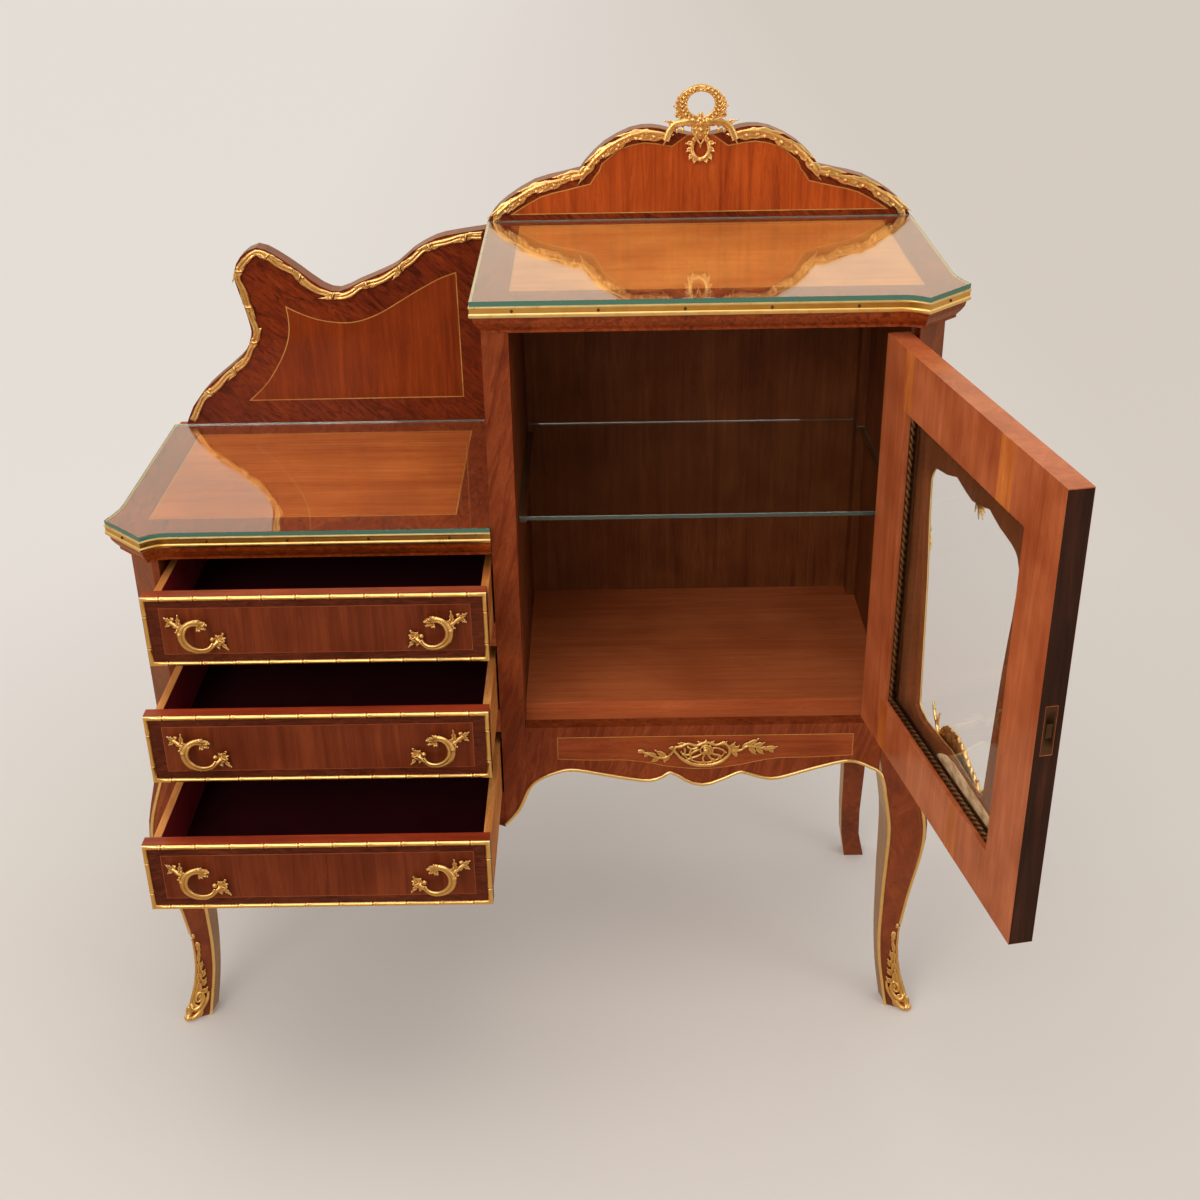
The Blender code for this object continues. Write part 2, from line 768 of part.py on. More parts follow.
def build_crest():
    base = TALL_PANEL_TOP + GAP
    half = [(x, base + rise) for x, rise in stretched(CREST, CREST_HALF_WIDTH - WOOD_MARGIN)]
    gilt_edge = both_ways(smooth(half, corner_indexes(CREST, CREST_CORNERS)))
    wood_edge = [(x, max(z, base)) for x, z in offset_path(gilt_edge, -WOOD_MARGIN)]
    board = outline_solid("crest_board", [wood_edge], "XZ", BACKBOARD_FRONT, CASE_DEPTH)
    finish_part(board, "figured_rosewood")

    # The border thins to a rod behind the wreath mount
    clear_of_glass = TALL_HEIGHT + GILT_RADIUS + GAP
    path = []
    for x, z in offset_path(both_ways(half), GILT_RADIUS):
        share = BORDER_THIN if abs(x - CREST_CENTRE) < 2 * WREATH_RADIUS else 1.0
        y = BACKBOARD_FRONT - 2 * GAP - GILT_RADIUS * share
        if z > clear_of_glass:
            path.append((x, y, z, share))
    border = tube("crest_gilt_border", path, GILT_RADIUS)
    finish_part(border, "gilt_brass")
    build_wreath(base + CREST[0][1], BACKBOARD_FRONT - 3 * GAP - 2 * GILT_RADIUS * BORDER_THIN)


def build_wreath(crest_top, back_y):
    # A pierced wreath above the crest, with two ribbons and an oval ring hanging in front of it
    x = CREST_CENTRE
    y = back_y - WREATH_TUBE
    centre_z = crest_top + WREATH_RISE
    ring_radius = WREATH_RADIUS - WREATH_TUBE
    path = []
    for step in range(8):
        angle = math.tau * step / 8
        path.append((x + ring_radius * math.cos(angle), y, centre_z + ring_radius * math.sin(angle), 1.0))
    wreath = tube("crest_wreath_mount", path, WREATH_TUBE, closed=True)

    knot_z = centre_z - WREATH_RADIUS - KNOT_RADII[1] * 0.4
    knot = blob("wreath_knot", (x, y, knot_z), (KNOT_RADII[0], WREATH_TUBE, KNOT_RADII[1]))
    oval_path = []
    for step in range(8):
        angle = math.tau * step / 8
        oval_x = x + OVAL_RADII[0] * math.cos(angle)
        oval_z = knot_z - OVAL_BELOW_KNOT + OVAL_RADII[1] * math.sin(angle)
        oval_path.append((oval_x, back_y - OVAL_TUBE, oval_z, 1.0))
    oval = tube("wreath_oval", oval_path, OVAL_TUBE, closed=True)

    # The ribbons start behind the knot and end in front of the full border
    over_border = BACKBOARD_FRONT - 4 * GAP - 2 * GILT_RADIUS - RIBBON_RADIUS
    depths = (y, y, over_border, over_border)
    ribbons = []
    for side in (-1, 1):
        ribbon_path = [
            (x + side * across, depth, knot_z + up, share)
            for (across, up, share), depth in zip(RIBBON, depths)
        ]
        ribbons.append(tube("wreath_ribbon", ribbon_path, RIBBON_RADIUS))
    join(wreath, knot, oval, *ribbons)
    finish_part(wreath, "gilt_brass")


# Legs and posts


def mix(first, second, t):
    return tuple(a + (b - a) * t for a, b in zip(first, second))


def leg_corner(side, inset, across, behind, z):
    face = CABINET_WIDTH if side == "right" else LEFT_FACE
    inward = -1 if side == "right" else 1
    return (face + inward * (across + inset), behind, z)


def leg_sections(side):
    # Heights and corners, with the inner corners straight down to the foot of the case
    share = APRON_TOP / LEG_SECTIONS[-1][0]
    post_foot = APRON_TOP - ARCH[-1][1] if side == "right" else CASE_UNDERSIDE - LOW_APRON[-1][1]
    flat = [(z * share, *[value for corner in corners for value in corner]) for z, *corners in LEG_SECTIONS]
    sections = []
    for values in smooth(flat, steps=LEG_STEPS):
        z = values[0]
        corners = [list(values[i : i + 2]) for i in range(1, 11, 2)]
        corners[0][0] = min(corners[0][0], POST_WIDTH)
        corners[4][0] = min(corners[4][0], POST_WIDTH)
        if z >= post_foot:
            corners[0][0] = POST_WIDTH
            corners[4][0] = POST_WIDTH
            corners[0][1] = max(corners[0][1], -0.006)
        corners[3][1] = min(corners[3][1], POST_DEPTH)
        corners[4][1] = min(corners[4][1], POST_DEPTH)
        inset = 0.0
        if side == "left":
            inset = LEFT_LEG_INSET * min(max((post_foot - z) / (post_foot * 0.4), 0.0), 1.0)
        sections.append((z, inset, corners))
    return sections


def leg_rings(side, grow=0.0):
    rings = []
    for z, inset, corners in leg_sections(side):
        middle_u = sum(u for u, v in corners) / len(corners)
        middle_v = sum(v for u, v in corners) / len(corners)
        ring = []
        for u, v in corners:
            away = Vector((u - middle_u, v - middle_v)).normalized() * grow
            ring.append(leg_corner(side, inset, u + away.x, v + away.y, z))
        rings.append(ring)
    return rings


def ridge_point(side, height):
    # The middle of the leg's ridge at a height
    sections = leg_sections(side)
    for (z0, inset0, low), (z1, inset1, high) in zip(sections, sections[1:]):
        if z0 <= height <= z1:
            t = (height - z0) / (z1 - z0)
            lower = mix(low[1], low[2], 0.5)
            upper = mix(high[1], high[2], 0.5)
            return mix(lower, upper, t), inset0 + (inset1 - inset0) * t
    return mix(sections[-1][2][1], sections[-1][2][2], 0.5), 0.0


def sabot_block(side, play):
    # The front outer corner of the foot, cut off by an upright plane across the leg
    reach = (SABOT_REACH + play) * math.sqrt(2)
    far = POST_WIDTH + CORNER_CANT
    inset = LEFT_LEG_INSET if side == "left" else 0.0
    corners = [(-far, -far), (reach + far, -far), (-far, reach + far)]
    outline = [leg_corner(side, inset, u, v, 0.0)[:2] for u, v in corners]
    return outline_solid("sabot_block", [outline], "XY", -CUT_MARGIN, SABOT_HEIGHT + play)


def build_front_leg(side, top):
    name = "front_" + side + "_leg"
    rings = leg_rings(side)
    corners = leg_sections(side)[-1][2]
    rings.append([leg_corner(side, 0.0, u, v, top) for u, v in corners])
    leg = loft(name, rings)
    if side == "right":
        rebate = box(
            "hinge_rebate",
            (RIGHT_POST_INNER - CUT_MARGIN, -CUT_MARGIN, APRON_TOP),
            (RIGHT_POST_INNER + HINGE_REBATE_WIDTH, HINGE_REBATE_DEPTH, top + CUT_MARGIN),
        )
        cut(leg, rebate)
    cut(leg, sabot_block(side, GAP))
    finish_part(leg, "figured_rosewood")


def build_sabot(side):
    sabot = loft("sabot_" + side, leg_rings(side, SABOT_THICKNESS))
    keep_inside(sabot, sabot_block(side, 0.0))
    path = []
    for height_share, share in SABOT_LEAF:
        height = height_share * SABOT_LEAF_HEIGHT
        (u, v), inset = ridge_point(side, height)
        away = (SABOT_LEAF_RADIUS * share + GAP) / math.sqrt(2)
        x, y, z = leg_corner(side, inset, u - away, v - away, height)
        path.append((x, y, z, share))
    join(sabot, tube("sabot_leaf", path, SABOT_LEAF_RADIUS))
    finish_part(sabot, "gilt_brass")


def build_rear_leg(side, top):
    share = APRON_TOP / LEG_SECTIONS[-1][0]
    rings = []
    sections = [(z * share, *rest) for z, *rest in REAR_SECTIONS]
    post = (top, 0.0, POST_WIDTH, REAR_POST_DEPTH, 0.0)
    for z, outer, inner, front, back in sections + [post]:
        inner = min(inner * POST_WIDTH / REAR_SECTIONS[-1][2], POST_WIDTH)
        front = min(front, REAR_POST_DEPTH)
        rings.append(
            [
                leg_corner(side, 0.0, inner, CASE_DEPTH - front, z),
                leg_corner(side, 0.0, outer, CASE_DEPTH - front, z),
                leg_corner(side, 0.0, outer, CASE_DEPTH - back, z),
                leg_corner(side, 0.0, inner, CASE_DEPTH - back, z),
            ]
        )
    finish_part(loft("rear_" + side + "_leg", rings), "figured_rosewood")


def build_legs():
    build_front_leg("right", TALL_PANEL_BOTTOM - GAP)
    build_front_leg("left", LOW_PANEL_BOTTOM - GAP)
    build_sabot("right")
    build_sabot("left")
    build_rear_leg("right", TALL_PANEL_BOTTOM - GAP)
    build_rear_leg("left", LOW_PANEL_BOTTOM - GAP)


# Case panels


def side_panel(name, low_x, high_x, arch_top, top):
    length = REAR_POST_FRONT - POST_DEPTH - 2 * GAP
    arch = [
        (POST_DEPTH + GAP + y, arch_top - drop) for y, drop in smooth(stretched(SIDE_ARCH, length))
    ]
    outline = arch + [(REAR_POST_FRONT - GAP, top), (POST_DEPTH + GAP, top)]
    finish_part(outline_solid(name, [outline], "YZ", low_x, high_x), "figured_rosewood")


def build_panels():
    tall_top = TALL_PANEL_BOTTOM - GAP
    low_top = LOW_PANEL_BOTTOM - GAP
    side_panel(
        "right_side_panel",
        RIGHT_SIDE_INNER,
        CABINET_WIDTH,
        APRON_TOP - SIDE_ARCH_RISE,
        tall_top,
    )
    side_panel("left_side_panel", LEFT_FACE, LEFT_POST_INNER, CASE_UNDERSIDE, low_top)
    build_partition(tall_top)
    cabinet_back = box(
        "cabinet_back_panel",
        (PARTITION_THICKNESS + GAP, BACK_FRONT, FLOOR_UNDERSIDE),
        (RIGHT_POST_INNER - GAP, BACK_REAR, tall_top),
    )
    finish_part(cabinet_back, "dark_mahogany")
    drawer_back = box(
        "drawer_case_back",
        (LEFT_POST_INNER + GAP, BACK_FRONT, CASE_UNDERSIDE),
        (-GAP, BACK_REAR, low_top),
    )
    finish_part(drawer_back, "dark_mahogany")


def arch_edge():
    # The front apron's lower edge, from the partition to the right post
    points = stretched(ARCH, RIGHT_POST_INNER)
    corners = corner_indexes(ARCH, ARCH_CORNERS)
    return [(x, APRON_TOP - drop) for x, drop in smooth(points, corners)]


def height_on(edge, x):
    for (x0, z0), (x1, z1) in zip(edge, edge[1:]):
        if x0 <= x <= x1:
            return z0 + (z1 - z0) * (x - x0) / (x1 - x0)
    return edge[-1][1]


def build_partition(top):
    edge = arch_edge()
    foot = edge[0][1]
    partition = box("partition_panel", (0.0, 0.0, foot), (PARTITION_THICKNESS, CASE_DEPTH, top))
    far = LONG_CUT_MARGIN
    under_arch = [(0.0, foot - far), (0.0, foot)]
    under_arch += [point for point in edge[1:] if point[0] < PARTITION_THICKNESS + far]
    under_arch.append((under_arch[-1][0], foot - far))
    cut(
        partition,
        outline_solid("arch_cut", [under_arch], "XZ", -far, LEDGE_FRONT),
        box(
            "rear_cut",
            (-far, LEDGE_FRONT - GAP, foot - far),
            (PARTITION_THICKNESS + far, CASE_DEPTH + far, CASE_UNDERSIDE + RAIL_HEIGHT / 2),
        ),
        box(
            "bolt_mortise",
            (
                PARTITION_THICKNESS - BOLT_THROW - DOOR_EDGE_GAP,
                bolt_centre_y() - BOLT_THICKNESS / 2 - 2 * BOLT_PLAY,
                LOCK_HEIGHT - BOLT_HEIGHT / 2 - 2 * BOLT_PLAY,
            ),
            (
                PARTITION_THICKNESS + CUT_MARGIN,
                bolt_centre_y() + BOLT_THICKNESS / 2 + 2 * BOLT_PLAY,
                LOCK_HEIGHT + BOLT_HEIGHT / 2 + 2 * BOLT_PLAY,
            ),
        ),
    )
    finish_part(partition, "figured_rosewood")


def build_front_apron():
    start = PARTITION_THICKNESS + GAP
    end = RIGHT_POST_INNER - GAP
    full = arch_edge()
    edge = [(start, height_on(full, start))]
    edge += [point for point in full if start < point[0] < end]
    edge.append((end, height_on(full, end)))
    outline = edge + [(end, APRON_TOP), (start, APRON_TOP)]
    apron = outline_solid("front_apron", [outline], "XZ", 0.0, APRON_THICKNESS)
    finish_part(apron, "figured_rosewood")

    # A pierced oval with a leaf spray on each side
    centre_x = (start + end) / 2
    centre_z = APRON_TOP - APRON_MOUNT_DROP
    y = -GAP - APRON_OVAL_TUBE
    oval = []
    for step in range(10):
        angle = math.tau * step / 10
        oval_x = centre_x + APRON_OVAL_RADII[0] * math.cos(angle)
        oval.append((oval_x, y, centre_z + APRON_OVAL_RADII[1] * math.sin(angle), 1.0))
    mount = tube("apron_mount", oval, APRON_OVAL_TUBE, closed=True)
    boss_centre = (centre_x, -GAP - APRON_BOSS_RADII[1], centre_z + APRON_BOSS_RADII[2])
    boss = blob("mount_boss", boss_centre, APRON_BOSS_RADII)
    spokes = []
    for side in (-1, 0, 1):
        spoke = [(centre_x + side * across, y, centre_z + up, share) for across, up, share in SPOKE]
        spokes.append(tube("mount_spoke", spoke, APRON_SPOKE, smoothness=1))
    for spray in (LEFT_SPRAY, RIGHT_SPRAY):
        path = [
            (centre_x + across, -GAP - APRON_LEAF * share, centre_z + up, share)
            for across, up, share in spray
        ]
        spokes.append(tube("mount_spray", path, APRON_LEAF))
    join(mount, boss, *spokes)
    finish_part(mount, "gilt_brass")


def build_cabinet_floor():
    start = PARTITION_THICKNESS + GAP
    section = [
        (LEDGE_FRONT, FLOOR_UNDERSIDE),
        (BACK_FRONT - GAP, FLOOR_UNDERSIDE),
        (BACK_FRONT - GAP, CABINET_FLOOR_HEIGHT),
        (FLOOR_FRONT, CABINET_FLOOR_HEIGHT),
        (FLOOR_FRONT, APRON_TOP),
        (LEDGE_FRONT, APRON_TOP),
    ]
    floor = outline_solid("cabinet_floor", [section], "YZ", start, RIGHT_SIDE_INNER - GAP)
    for name, low_y, high_y in (
        ("front_notch", -LONG_CUT_MARGIN, POST_DEPTH + GAP),
        ("rear_notch", REAR_POST_FRONT - GAP, CASE_DEPTH + LONG_CUT_MARGIN),
    ):
        notch = box(
            name,
            (RIGHT_POST_INNER - GAP, low_y, FLOOR_UNDERSIDE - LONG_CUT_MARGIN),
            (CABINET_WIDTH + LONG_CUT_MARGIN, high_y, CABINET_FLOOR_HEIGHT + LONG_CUT_MARGIN),
        )
        cut(floor, notch)
    finish_part(floor, "red_mahogany")


def build_shelf():
    left = PARTITION_THICKNESS + SHELF_PLAY
    right = RIGHT_SIDE_INNER - SHELF_PLAY
    notch_x = RIGHT_POST_INNER - SHELF_PLAY
    front_notch = POST_DEPTH + SHELF_PLAY
    rear_notch = REAR_POST_FRONT - SHELF_PLAY
    back = BACK_FRONT - SHELF_PLAY
    outline = [
        (left, SHELF_FRONT),
        (notch_x, SHELF_FRONT),
        (notch_x, front_notch),
        (right, front_notch),
        (right, rear_notch),
        (notch_x, rear_notch),
        (notch_x, back),
        (left, back),
    ]
    underside = SHELF_HEIGHT - SHELF_THICKNESS
    shelf = outline_solid("glass_shelf", [outline], "XY", underside, SHELF_HEIGHT)
    round_edges(shelf, 0.0008, 1)
    finish_part(shelf, "clear_glass")
    rest_top = underside - GAP
    rests = (
        ("shelf_rest_left", PARTITION_THICKNESS + GAP, PARTITION_THICKNESS + SHELF_REST_WIDTH),
        ("shelf_rest_right", RIGHT_SIDE_INNER - SHELF_REST_WIDTH, RIGHT_SIDE_INNER - GAP),
    )
    for name, low_x, high_x in rests:
        rest = box(
            name,
            (low_x, front_notch, rest_top - SHELF_REST_HEIGHT),
            (high_x, rear_notch, rest_top),
        )
        finish_part(rest, "dark_mahogany")


def build_drawer_case():
    left = LEFT_POST_INNER + GAP
    right = -GAP
    for name, rail_top in (
        ("drawer_divider_upper", OPENING_FLOORS[0]),
        ("drawer_divider_lower", OPENING_FLOORS[1]),
    ):
        section = [
            (0.0, rail_top - RAIL_HEIGHT),
            (RAIL_DEPTH, rail_top - RAIL_HEIGHT),
            (RAIL_DEPTH, rail_top - DUST_BOARD),
            (BACK_FRONT - GAP, rail_top - DUST_BOARD),
            (BACK_FRONT - GAP, rail_top),
            (0.0, rail_top),
        ]
        finish_part(outline_solid(name, [section], "YZ", left, right), "red_mahogany")
    board = box(
        "drawer_case_bottom",
        (left, APRON_THICKNESS / 2, CASE_FLOOR - DUST_BOARD),
        (right, BACK_FRONT - GAP, CASE_FLOOR),
    )
    scallops = smooth(stretched(LOW_APRON, right - left))
    edge = [(right - x, CASE_UNDERSIDE - drop) for x, drop in scallops]
    outline = edge + [(left, CASE_FLOOR), (right, CASE_FLOOR)]
    apron = outline_solid("low_apron", [outline], "XZ", 0.0, APRON_THICKNESS)
    join(board, apron)
    finish_part(board, "figured_rosewood")


# Drawers


def drawer_handle(name, side, centre_x, centre_z, face_y):
    mirror = 1 if side == "left" else -1
    depth_share = HANDLE_STANDOFF / max(point[2] for point in HANDLE_SCROLL)

    def placed(path):
        return [
            (
                centre_x + mirror * x,
                face_y - GAP - max(off * depth_share, HANDLE_TUBE * share),
                centre_z + z,
                share,
            )
            for x, z, off, share in path
        ]

    handle = tube(name, placed(HANDLE_SCROLL), HANDLE_TUBE)
    spray = tube("handle_spray", placed(HANDLE_SPRAY), HANDLE_TUBE)
    leaf_x, leaf_z, half_width, half_height, half_depth = HANDLE_LEAF
    leaf = blob(
        "handle_leaf",
        (centre_x + mirror * leaf_x, face_y - GAP - half_depth, centre_z + leaf_z),
        (half_width, half_depth, half_height),
    )
    return join(handle, spray, leaf)


def build_drawer(number, opening_floor, extension):
    prefix = "drawer_" + str(number)
    slide = make_empty(prefix + "_slide", (0.0, 0.0, opening_floor), root)
    left = LEFT_POST_INNER + DRAWER_PLAY
    right = -DRAWER_PLAY
    bottom = opening_floor + FRONT_PLAY_BELOW
    top = opening_floor + DRAWER_OPENING - FRONT_PLAY_ABOVE
    front = box(prefix + "_front", (left, 0.0, bottom), (right, DRAWER_FRONT, top))
    finish_part(front, "figured_rosewood", slide)

    box_left = left + DRAWER_PLAY
    box_right = right - DRAWER_PLAY
    box_front = DRAWER_FRONT + GAP
    sides = [
        (box_left, box_front),
        (box_left + DRAWER_SIDE, box_front),
        (box_left + DRAWER_SIDE, DRAWER_LENGTH - DRAWER_SIDE),
        (box_right - DRAWER_SIDE, DRAWER_LENGTH - DRAWER_SIDE),
        (box_right - DRAWER_SIDE, box_front),
        (box_right, box_front),
        (box_right, DRAWER_LENGTH),
        (box_left, DRAWER_LENGTH),
    ]
    box_bottom = opening_floor + RUNNER_PLAY
    walls = outline_solid(prefix + "_box", [sides], "XY", box_bottom, box_bottom + DRAWER_SIDE_HEIGHT)
    finish_part(walls, "pale_beech", slide)

    inside = DRAWER_SIDE + GAP
    panel_low = box_bottom + DRAWER_BOTTOM_RISE
    panel = box(
        prefix + "_bottom",
        (box_left + inside, box_front, panel_low),
        (box_right - inside, DRAWER_LENGTH - inside, panel_low + DRAWER_BOTTOM),
    )
    finish_part(panel, "pale_beech", slide)

    outer = [(left, bottom), (right, bottom), (right, top), (left, top)]
    w = BORDER_WIDTH
    inner = [
        (left + w, bottom + w),
        (right - w, bottom + w),
        (right - w, top - w),
        (left + w, top - w),
    ]
    border = outline_solid(prefix + "_brass_border", [outer, inner], "XZ", -GAP - BORDER_PROUD, -GAP)
    round_edges(border, 0.0011, 1)
    finish_part(border, "gilt_brass", slide)

    middle_z = (bottom + top) / 2
    for side, centre_x in (("left", left + HANDLE_INSET), ("right", right - HANDLE_INSET)):
        handle = drawer_handle(prefix + "_handle_" + side, side, centre_x, middle_z, 0.0)
        finish_part(handle, "gilt_brass", slide)
    slide.location.y = -extension


def build_drawers():
    for i, (opening_floor, extension) in enumerate(zip(OPENING_FLOORS, DRAWER_EXTENSIONS)):
        build_drawer(i + 1, opening_floor, extension)


# Door


def bolt_centre_y():
    return DOOR_RECESS + DOOR_THICKNESS / 2


def build_door_frame(pivot):
    outer = [
        (DOOR_LEFT, DOOR_BOTTOM),
        (DOOR_RIGHT, DOOR_BOTTOM),
        (DOOR_RIGHT, DOOR_TOP),
        (DOOR_LEFT, DOOR_TOP),
    ]
    inner = [
        (GLAZED_LEFT, GLAZED_BOTTOM),
        (GLAZED_RIGHT, GLAZED_BOTTOM),
        (GLAZED_RIGHT, GLAZED_TOP),
        (GLAZED_LEFT, GLAZED_TOP),
    ]
    frame = outline_solid("door_frame", [outer, inner], "XZ", DOOR_RECESS, DOOR_BACK)
    pocket = box(
        "lock_pocket",
        (
            DOOR_LEFT - CUT_MARGIN,
            bolt_centre_y() - LOCK_THICKNESS / 2 - GAP,
            LOCK_HEIGHT - LOCK_LENGTH / 2 - GAP,
        ),
        (
            DOOR_LEFT + LOCK_DEPTH + GAP,
            bolt_centre_y() + LOCK_THICKNESS / 2 + GAP,
            LOCK_HEIGHT + LOCK_LENGTH / 2 + GAP,
        ),
    )
    cut(frame, pocket)
    finish_part(frame, "red_mahogany", pivot)


def build_door_glazing(pivot):
    low_x, high_x = GLAZED_LEFT + GAP, GLAZED_RIGHT - GAP
    low_z, high_z = GLAZED_BOTTOM + GAP, GLAZED_TOP - GAP
    rectangle = [(low_x, low_z), (high_x, low_z), (high_x, high_z), (low_x, high_z)]

    # The face's inner edge: half of it, as distance from the middle and from the opening's edge
    middle = (low_x + high_x) / 2
    half = (high_x - low_x) / 2
    side_low = half * 0.655
    side_high = half * 0.795
    edge = [
        (0.0, high_z - 0.046),
        (0.018, high_z - 0.043),
        (0.048, high_z - 0.036),
        (0.078, high_z - 0.045),
        (0.110, high_z - 0.050),
        (0.128, high_z - 0.058),
        (side_high, high_z - 0.075),
        (side_high - 0.004, high_z - 0.130),
        (side_high - 0.014, (low_z + high_z) / 2),
        (side_low, low_z + 0.060),
        (side_low - 0.003, low_z + 0.030),
        (side_low - 0.030, low_z + 0.020),
        (0.0, low_z + 0.026),
    ]
    cusps = (2, 6, 10)
    right = smooth(edge, cusps)
    left = [(-x, z) for x, z in right[-2:0:-1]]
    hole = [(middle + x, z) for x, z in right + left]
    face = outline_solid(
        "door_shaped_face",
        [rectangle, hole],
        "XZ",
        DOOR_RECESS,
        DOOR_RECESS + DOOR_FACE_THICKNESS,
    )
    finish_part(face, "figured_rosewood", pivot)

    glass_front = DOOR_RECESS + DOOR_FACE_THICKNESS + GAP
    glass = box(
        "door_glass", (low_x, glass_front, low_z), (high_x, glass_front + DOOR_GLASS, high_z)
    )
    finish_part(glass, "clear_glass", pivot)

    bead_front = glass_front + DOOR_GLASS + GAP
    w = BEAD_WIDTH
    inner = [
        (low_x + w, low_z + w),
        (high_x - w, low_z + w),
        (high_x - w, high_z - w),
        (low_x + w, high_z - w),
    ]
    bead = outline_solid("door_rope_bead", [rectangle, inner], "XZ", bead_front, bead_front + BEAD_DEPTH)
    round_edges(bead, 0.0025, 1)
    finish_part(bead, "aged_brass", pivot)


def build_shell_mount(pivot):
    # A half shell with a leaf spray, standing on the front of the bottom rail
    depth = SHELL_RADII[1]
    y = DOOR_RECESS - GAP - depth
    x = DOOR_RIGHT - SHELL_FROM_HINGE
    z = GLAZED_BOTTOM + SHELL_ABOVE_RAIL
    shell = blob("door_shell_mount", (x, y, z), SHELL_RADII, 16, 9)
    rim_tube = tube("shell_rim", [(x + across, y, z + up, 1.0) for across, up in SHELL_RIM], depth)
    leaf_tube = tube("shell_leaf", [(x + across, y, z + up, 1.0) for across, up in SHELL_LEAF], depth)
    web = blob("shell_web", (x - 0.004, y, z + 0.014), SHELL_WEB_RADII, 16, 9)
    join(shell, web, rim_tube, leaf_tube)
    finish_part(shell, "gilt_brass", pivot)


def build_lock(pivot):
    y = bolt_centre_y()
    lock = box(
        "door_lock",
        (DOOR_LEFT, y - LOCK_THICKNESS / 2, LOCK_HEIGHT - LOCK_LENGTH / 2),
        (DOOR_LEFT + LOCK_DEPTH, y + LOCK_THICKNESS / 2, LOCK_HEIGHT + LOCK_LENGTH / 2),
    )
    slot_y = BOLT_THICKNESS / 2 + BOLT_PLAY
    slot_z = BOLT_HEIGHT / 2 + BOLT_PLAY
    slot = box(
        "bolt_slot",
        (DOOR_LEFT - CUT_MARGIN, y - slot_y, LOCK_HEIGHT - slot_z),
        (DOOR_LEFT + BOLT_LENGTH + BOLT_PLAY, y + slot_y, LOCK_HEIGHT + slot_z),
    )
    cut(lock, slot)
    finish_part(lock, "aged_brass", pivot)

    slide = make_empty("lock_bolt_slide", (DOOR_LEFT, y, LOCK_HEIGHT), pivot)
    bolt = box(
        "lock_bolt",
        (DOOR_LEFT, y - BOLT_THICKNESS / 2, LOCK_HEIGHT - BOLT_HEIGHT / 2),
        (DOOR_LEFT + BOLT_LENGTH, y + BOLT_THICKNESS / 2, LOCK_HEIGHT + BOLT_HEIGHT / 2),
    )
    finish_part(bolt, "gilt_brass", slide)


def build_hinge(prefix, middle_z, pivot):
    # The post's leaf holds two knuckles and the pin; the door's leaf turns between them
    half = HINGE_LENGTH / 2
    knuckle_half = HINGE_KNUCKLE / 2
    end_length = half - knuckle_half - GAP
    plate_x = RIGHT_POST_INNER + HINGE_REBATE_WIDTH - GAP - LEAF_THICKNESS
    pin_centre = (PIN_X, PIN_Y, middle_z)
    post_leaf = rod(prefix + "_post_leaf", pin_centre, PIN_RADIUS, HINGE_LENGTH, segments=12)
    pieces = [
        box(
            "post_plate",
            (plate_x, 0.002, middle_z - half),
            (plate_x + LEAF_THICKNESS, HINGE_REBATE_DEPTH - GAP, middle_z + half),
        )
    ]
    for end in (-1, 1):
        z = middle_z + end * (half - end_length / 2)
        pieces.append(rod("post_knuckle", (PIN_X, PIN_Y, z), KNUCKLE_RADIUS, end_length))
        pieces.append(
            box(
                "post_web",
                (PIN_X, PIN_Y - LEAF_THICKNESS, z - end_length / 2),
                (plate_x + LEAF_THICKNESS / 2, PIN_Y + LEAF_THICKNESS, z + end_length / 2),
            )
        )
    join(post_leaf, *pieces)
    finish_part(post_leaf, "gilt_brass")

    door_leaf = rod(prefix + "_door_leaf", pin_centre, KNUCKLE_RADIUS, HINGE_KNUCKLE)
    leaf_back = DOOR_RECESS - GAP
    plate = box(
        "door_plate",
        (DOOR_RIGHT - LEAF_WIDTH, leaf_back - LEAF_THICKNESS, middle_z - half),
        (DOOR_RIGHT - KNUCKLE_RADIUS, leaf_back, middle_z + half),
    )
    web = box(
        "door_web",
        (DOOR_RIGHT - LEAF_WIDTH / 2, leaf_back - LEAF_THICKNESS * 1.5, middle_z - knuckle_half),
        (PIN_X, leaf_back, middle_z + knuckle_half),
    )
    join(door_leaf, plate, web)
    bore = rod("pin_bore", pin_centre, PIN_RADIUS + PIN_PLAY, HINGE_LENGTH)
    cut(door_leaf, bore)
    finish_part(door_leaf, "gilt_brass", pivot)


def build_door():
    pivot = make_empty("door_pivot", (PIN_X, PIN_Y, DOOR_BOTTOM), root)
    build_door_frame(pivot)
    build_door_glazing(pivot)
    build_shell_mount(pivot)
    build_lock(pivot)
    build_hinge("hinge_lower", DOOR_BOTTOM + HINGE_FROM_END, pivot)
    build_hinge("hinge_upper", DOOR_TOP - HINGE_FROM_END, pivot)
    pivot.rotation_euler.z = math.radians(DOOR_OPEN_ANGLE)


# Placing


def centre_on_footprint():
    # Moves the root so that the middle of the whole stands over the origin
    bpy.context.view_layer.update()
    depsgraph = bpy.context.evaluated_depsgraph_get()
    corners = []
    for obj in parts.objects:
        evaluated = obj.evaluated_get(depsgraph)
        corners += [evaluated.matrix_world @ vertex.co for vertex in evaluated.data.vertices]
    xs = [corner.x for corner in corners]
    ys = [corner.y for corner in corners]
    root.location = (-(min(xs) + max(xs)) / 2, -(min(ys) + max(ys)) / 2, 0.0)
    bpy.context.view_layer.update()


clear_scene()
parts = new_collection("display_chest")
guides = new_collection("cutters_and_pivots")
root = make_empty("root", (0.0, 0.0, 0.0))
build_tops()
build_low_backboard()
build_crest()
build_legs()
build_panels()
build_front_apron()
build_cabinet_floor()
build_shelf()
build_drawer_case()
build_drawers()
build_door()
centre_on_footprint()
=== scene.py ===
import math

import bmesh
import bpy
from mathutils import Matrix, Vector


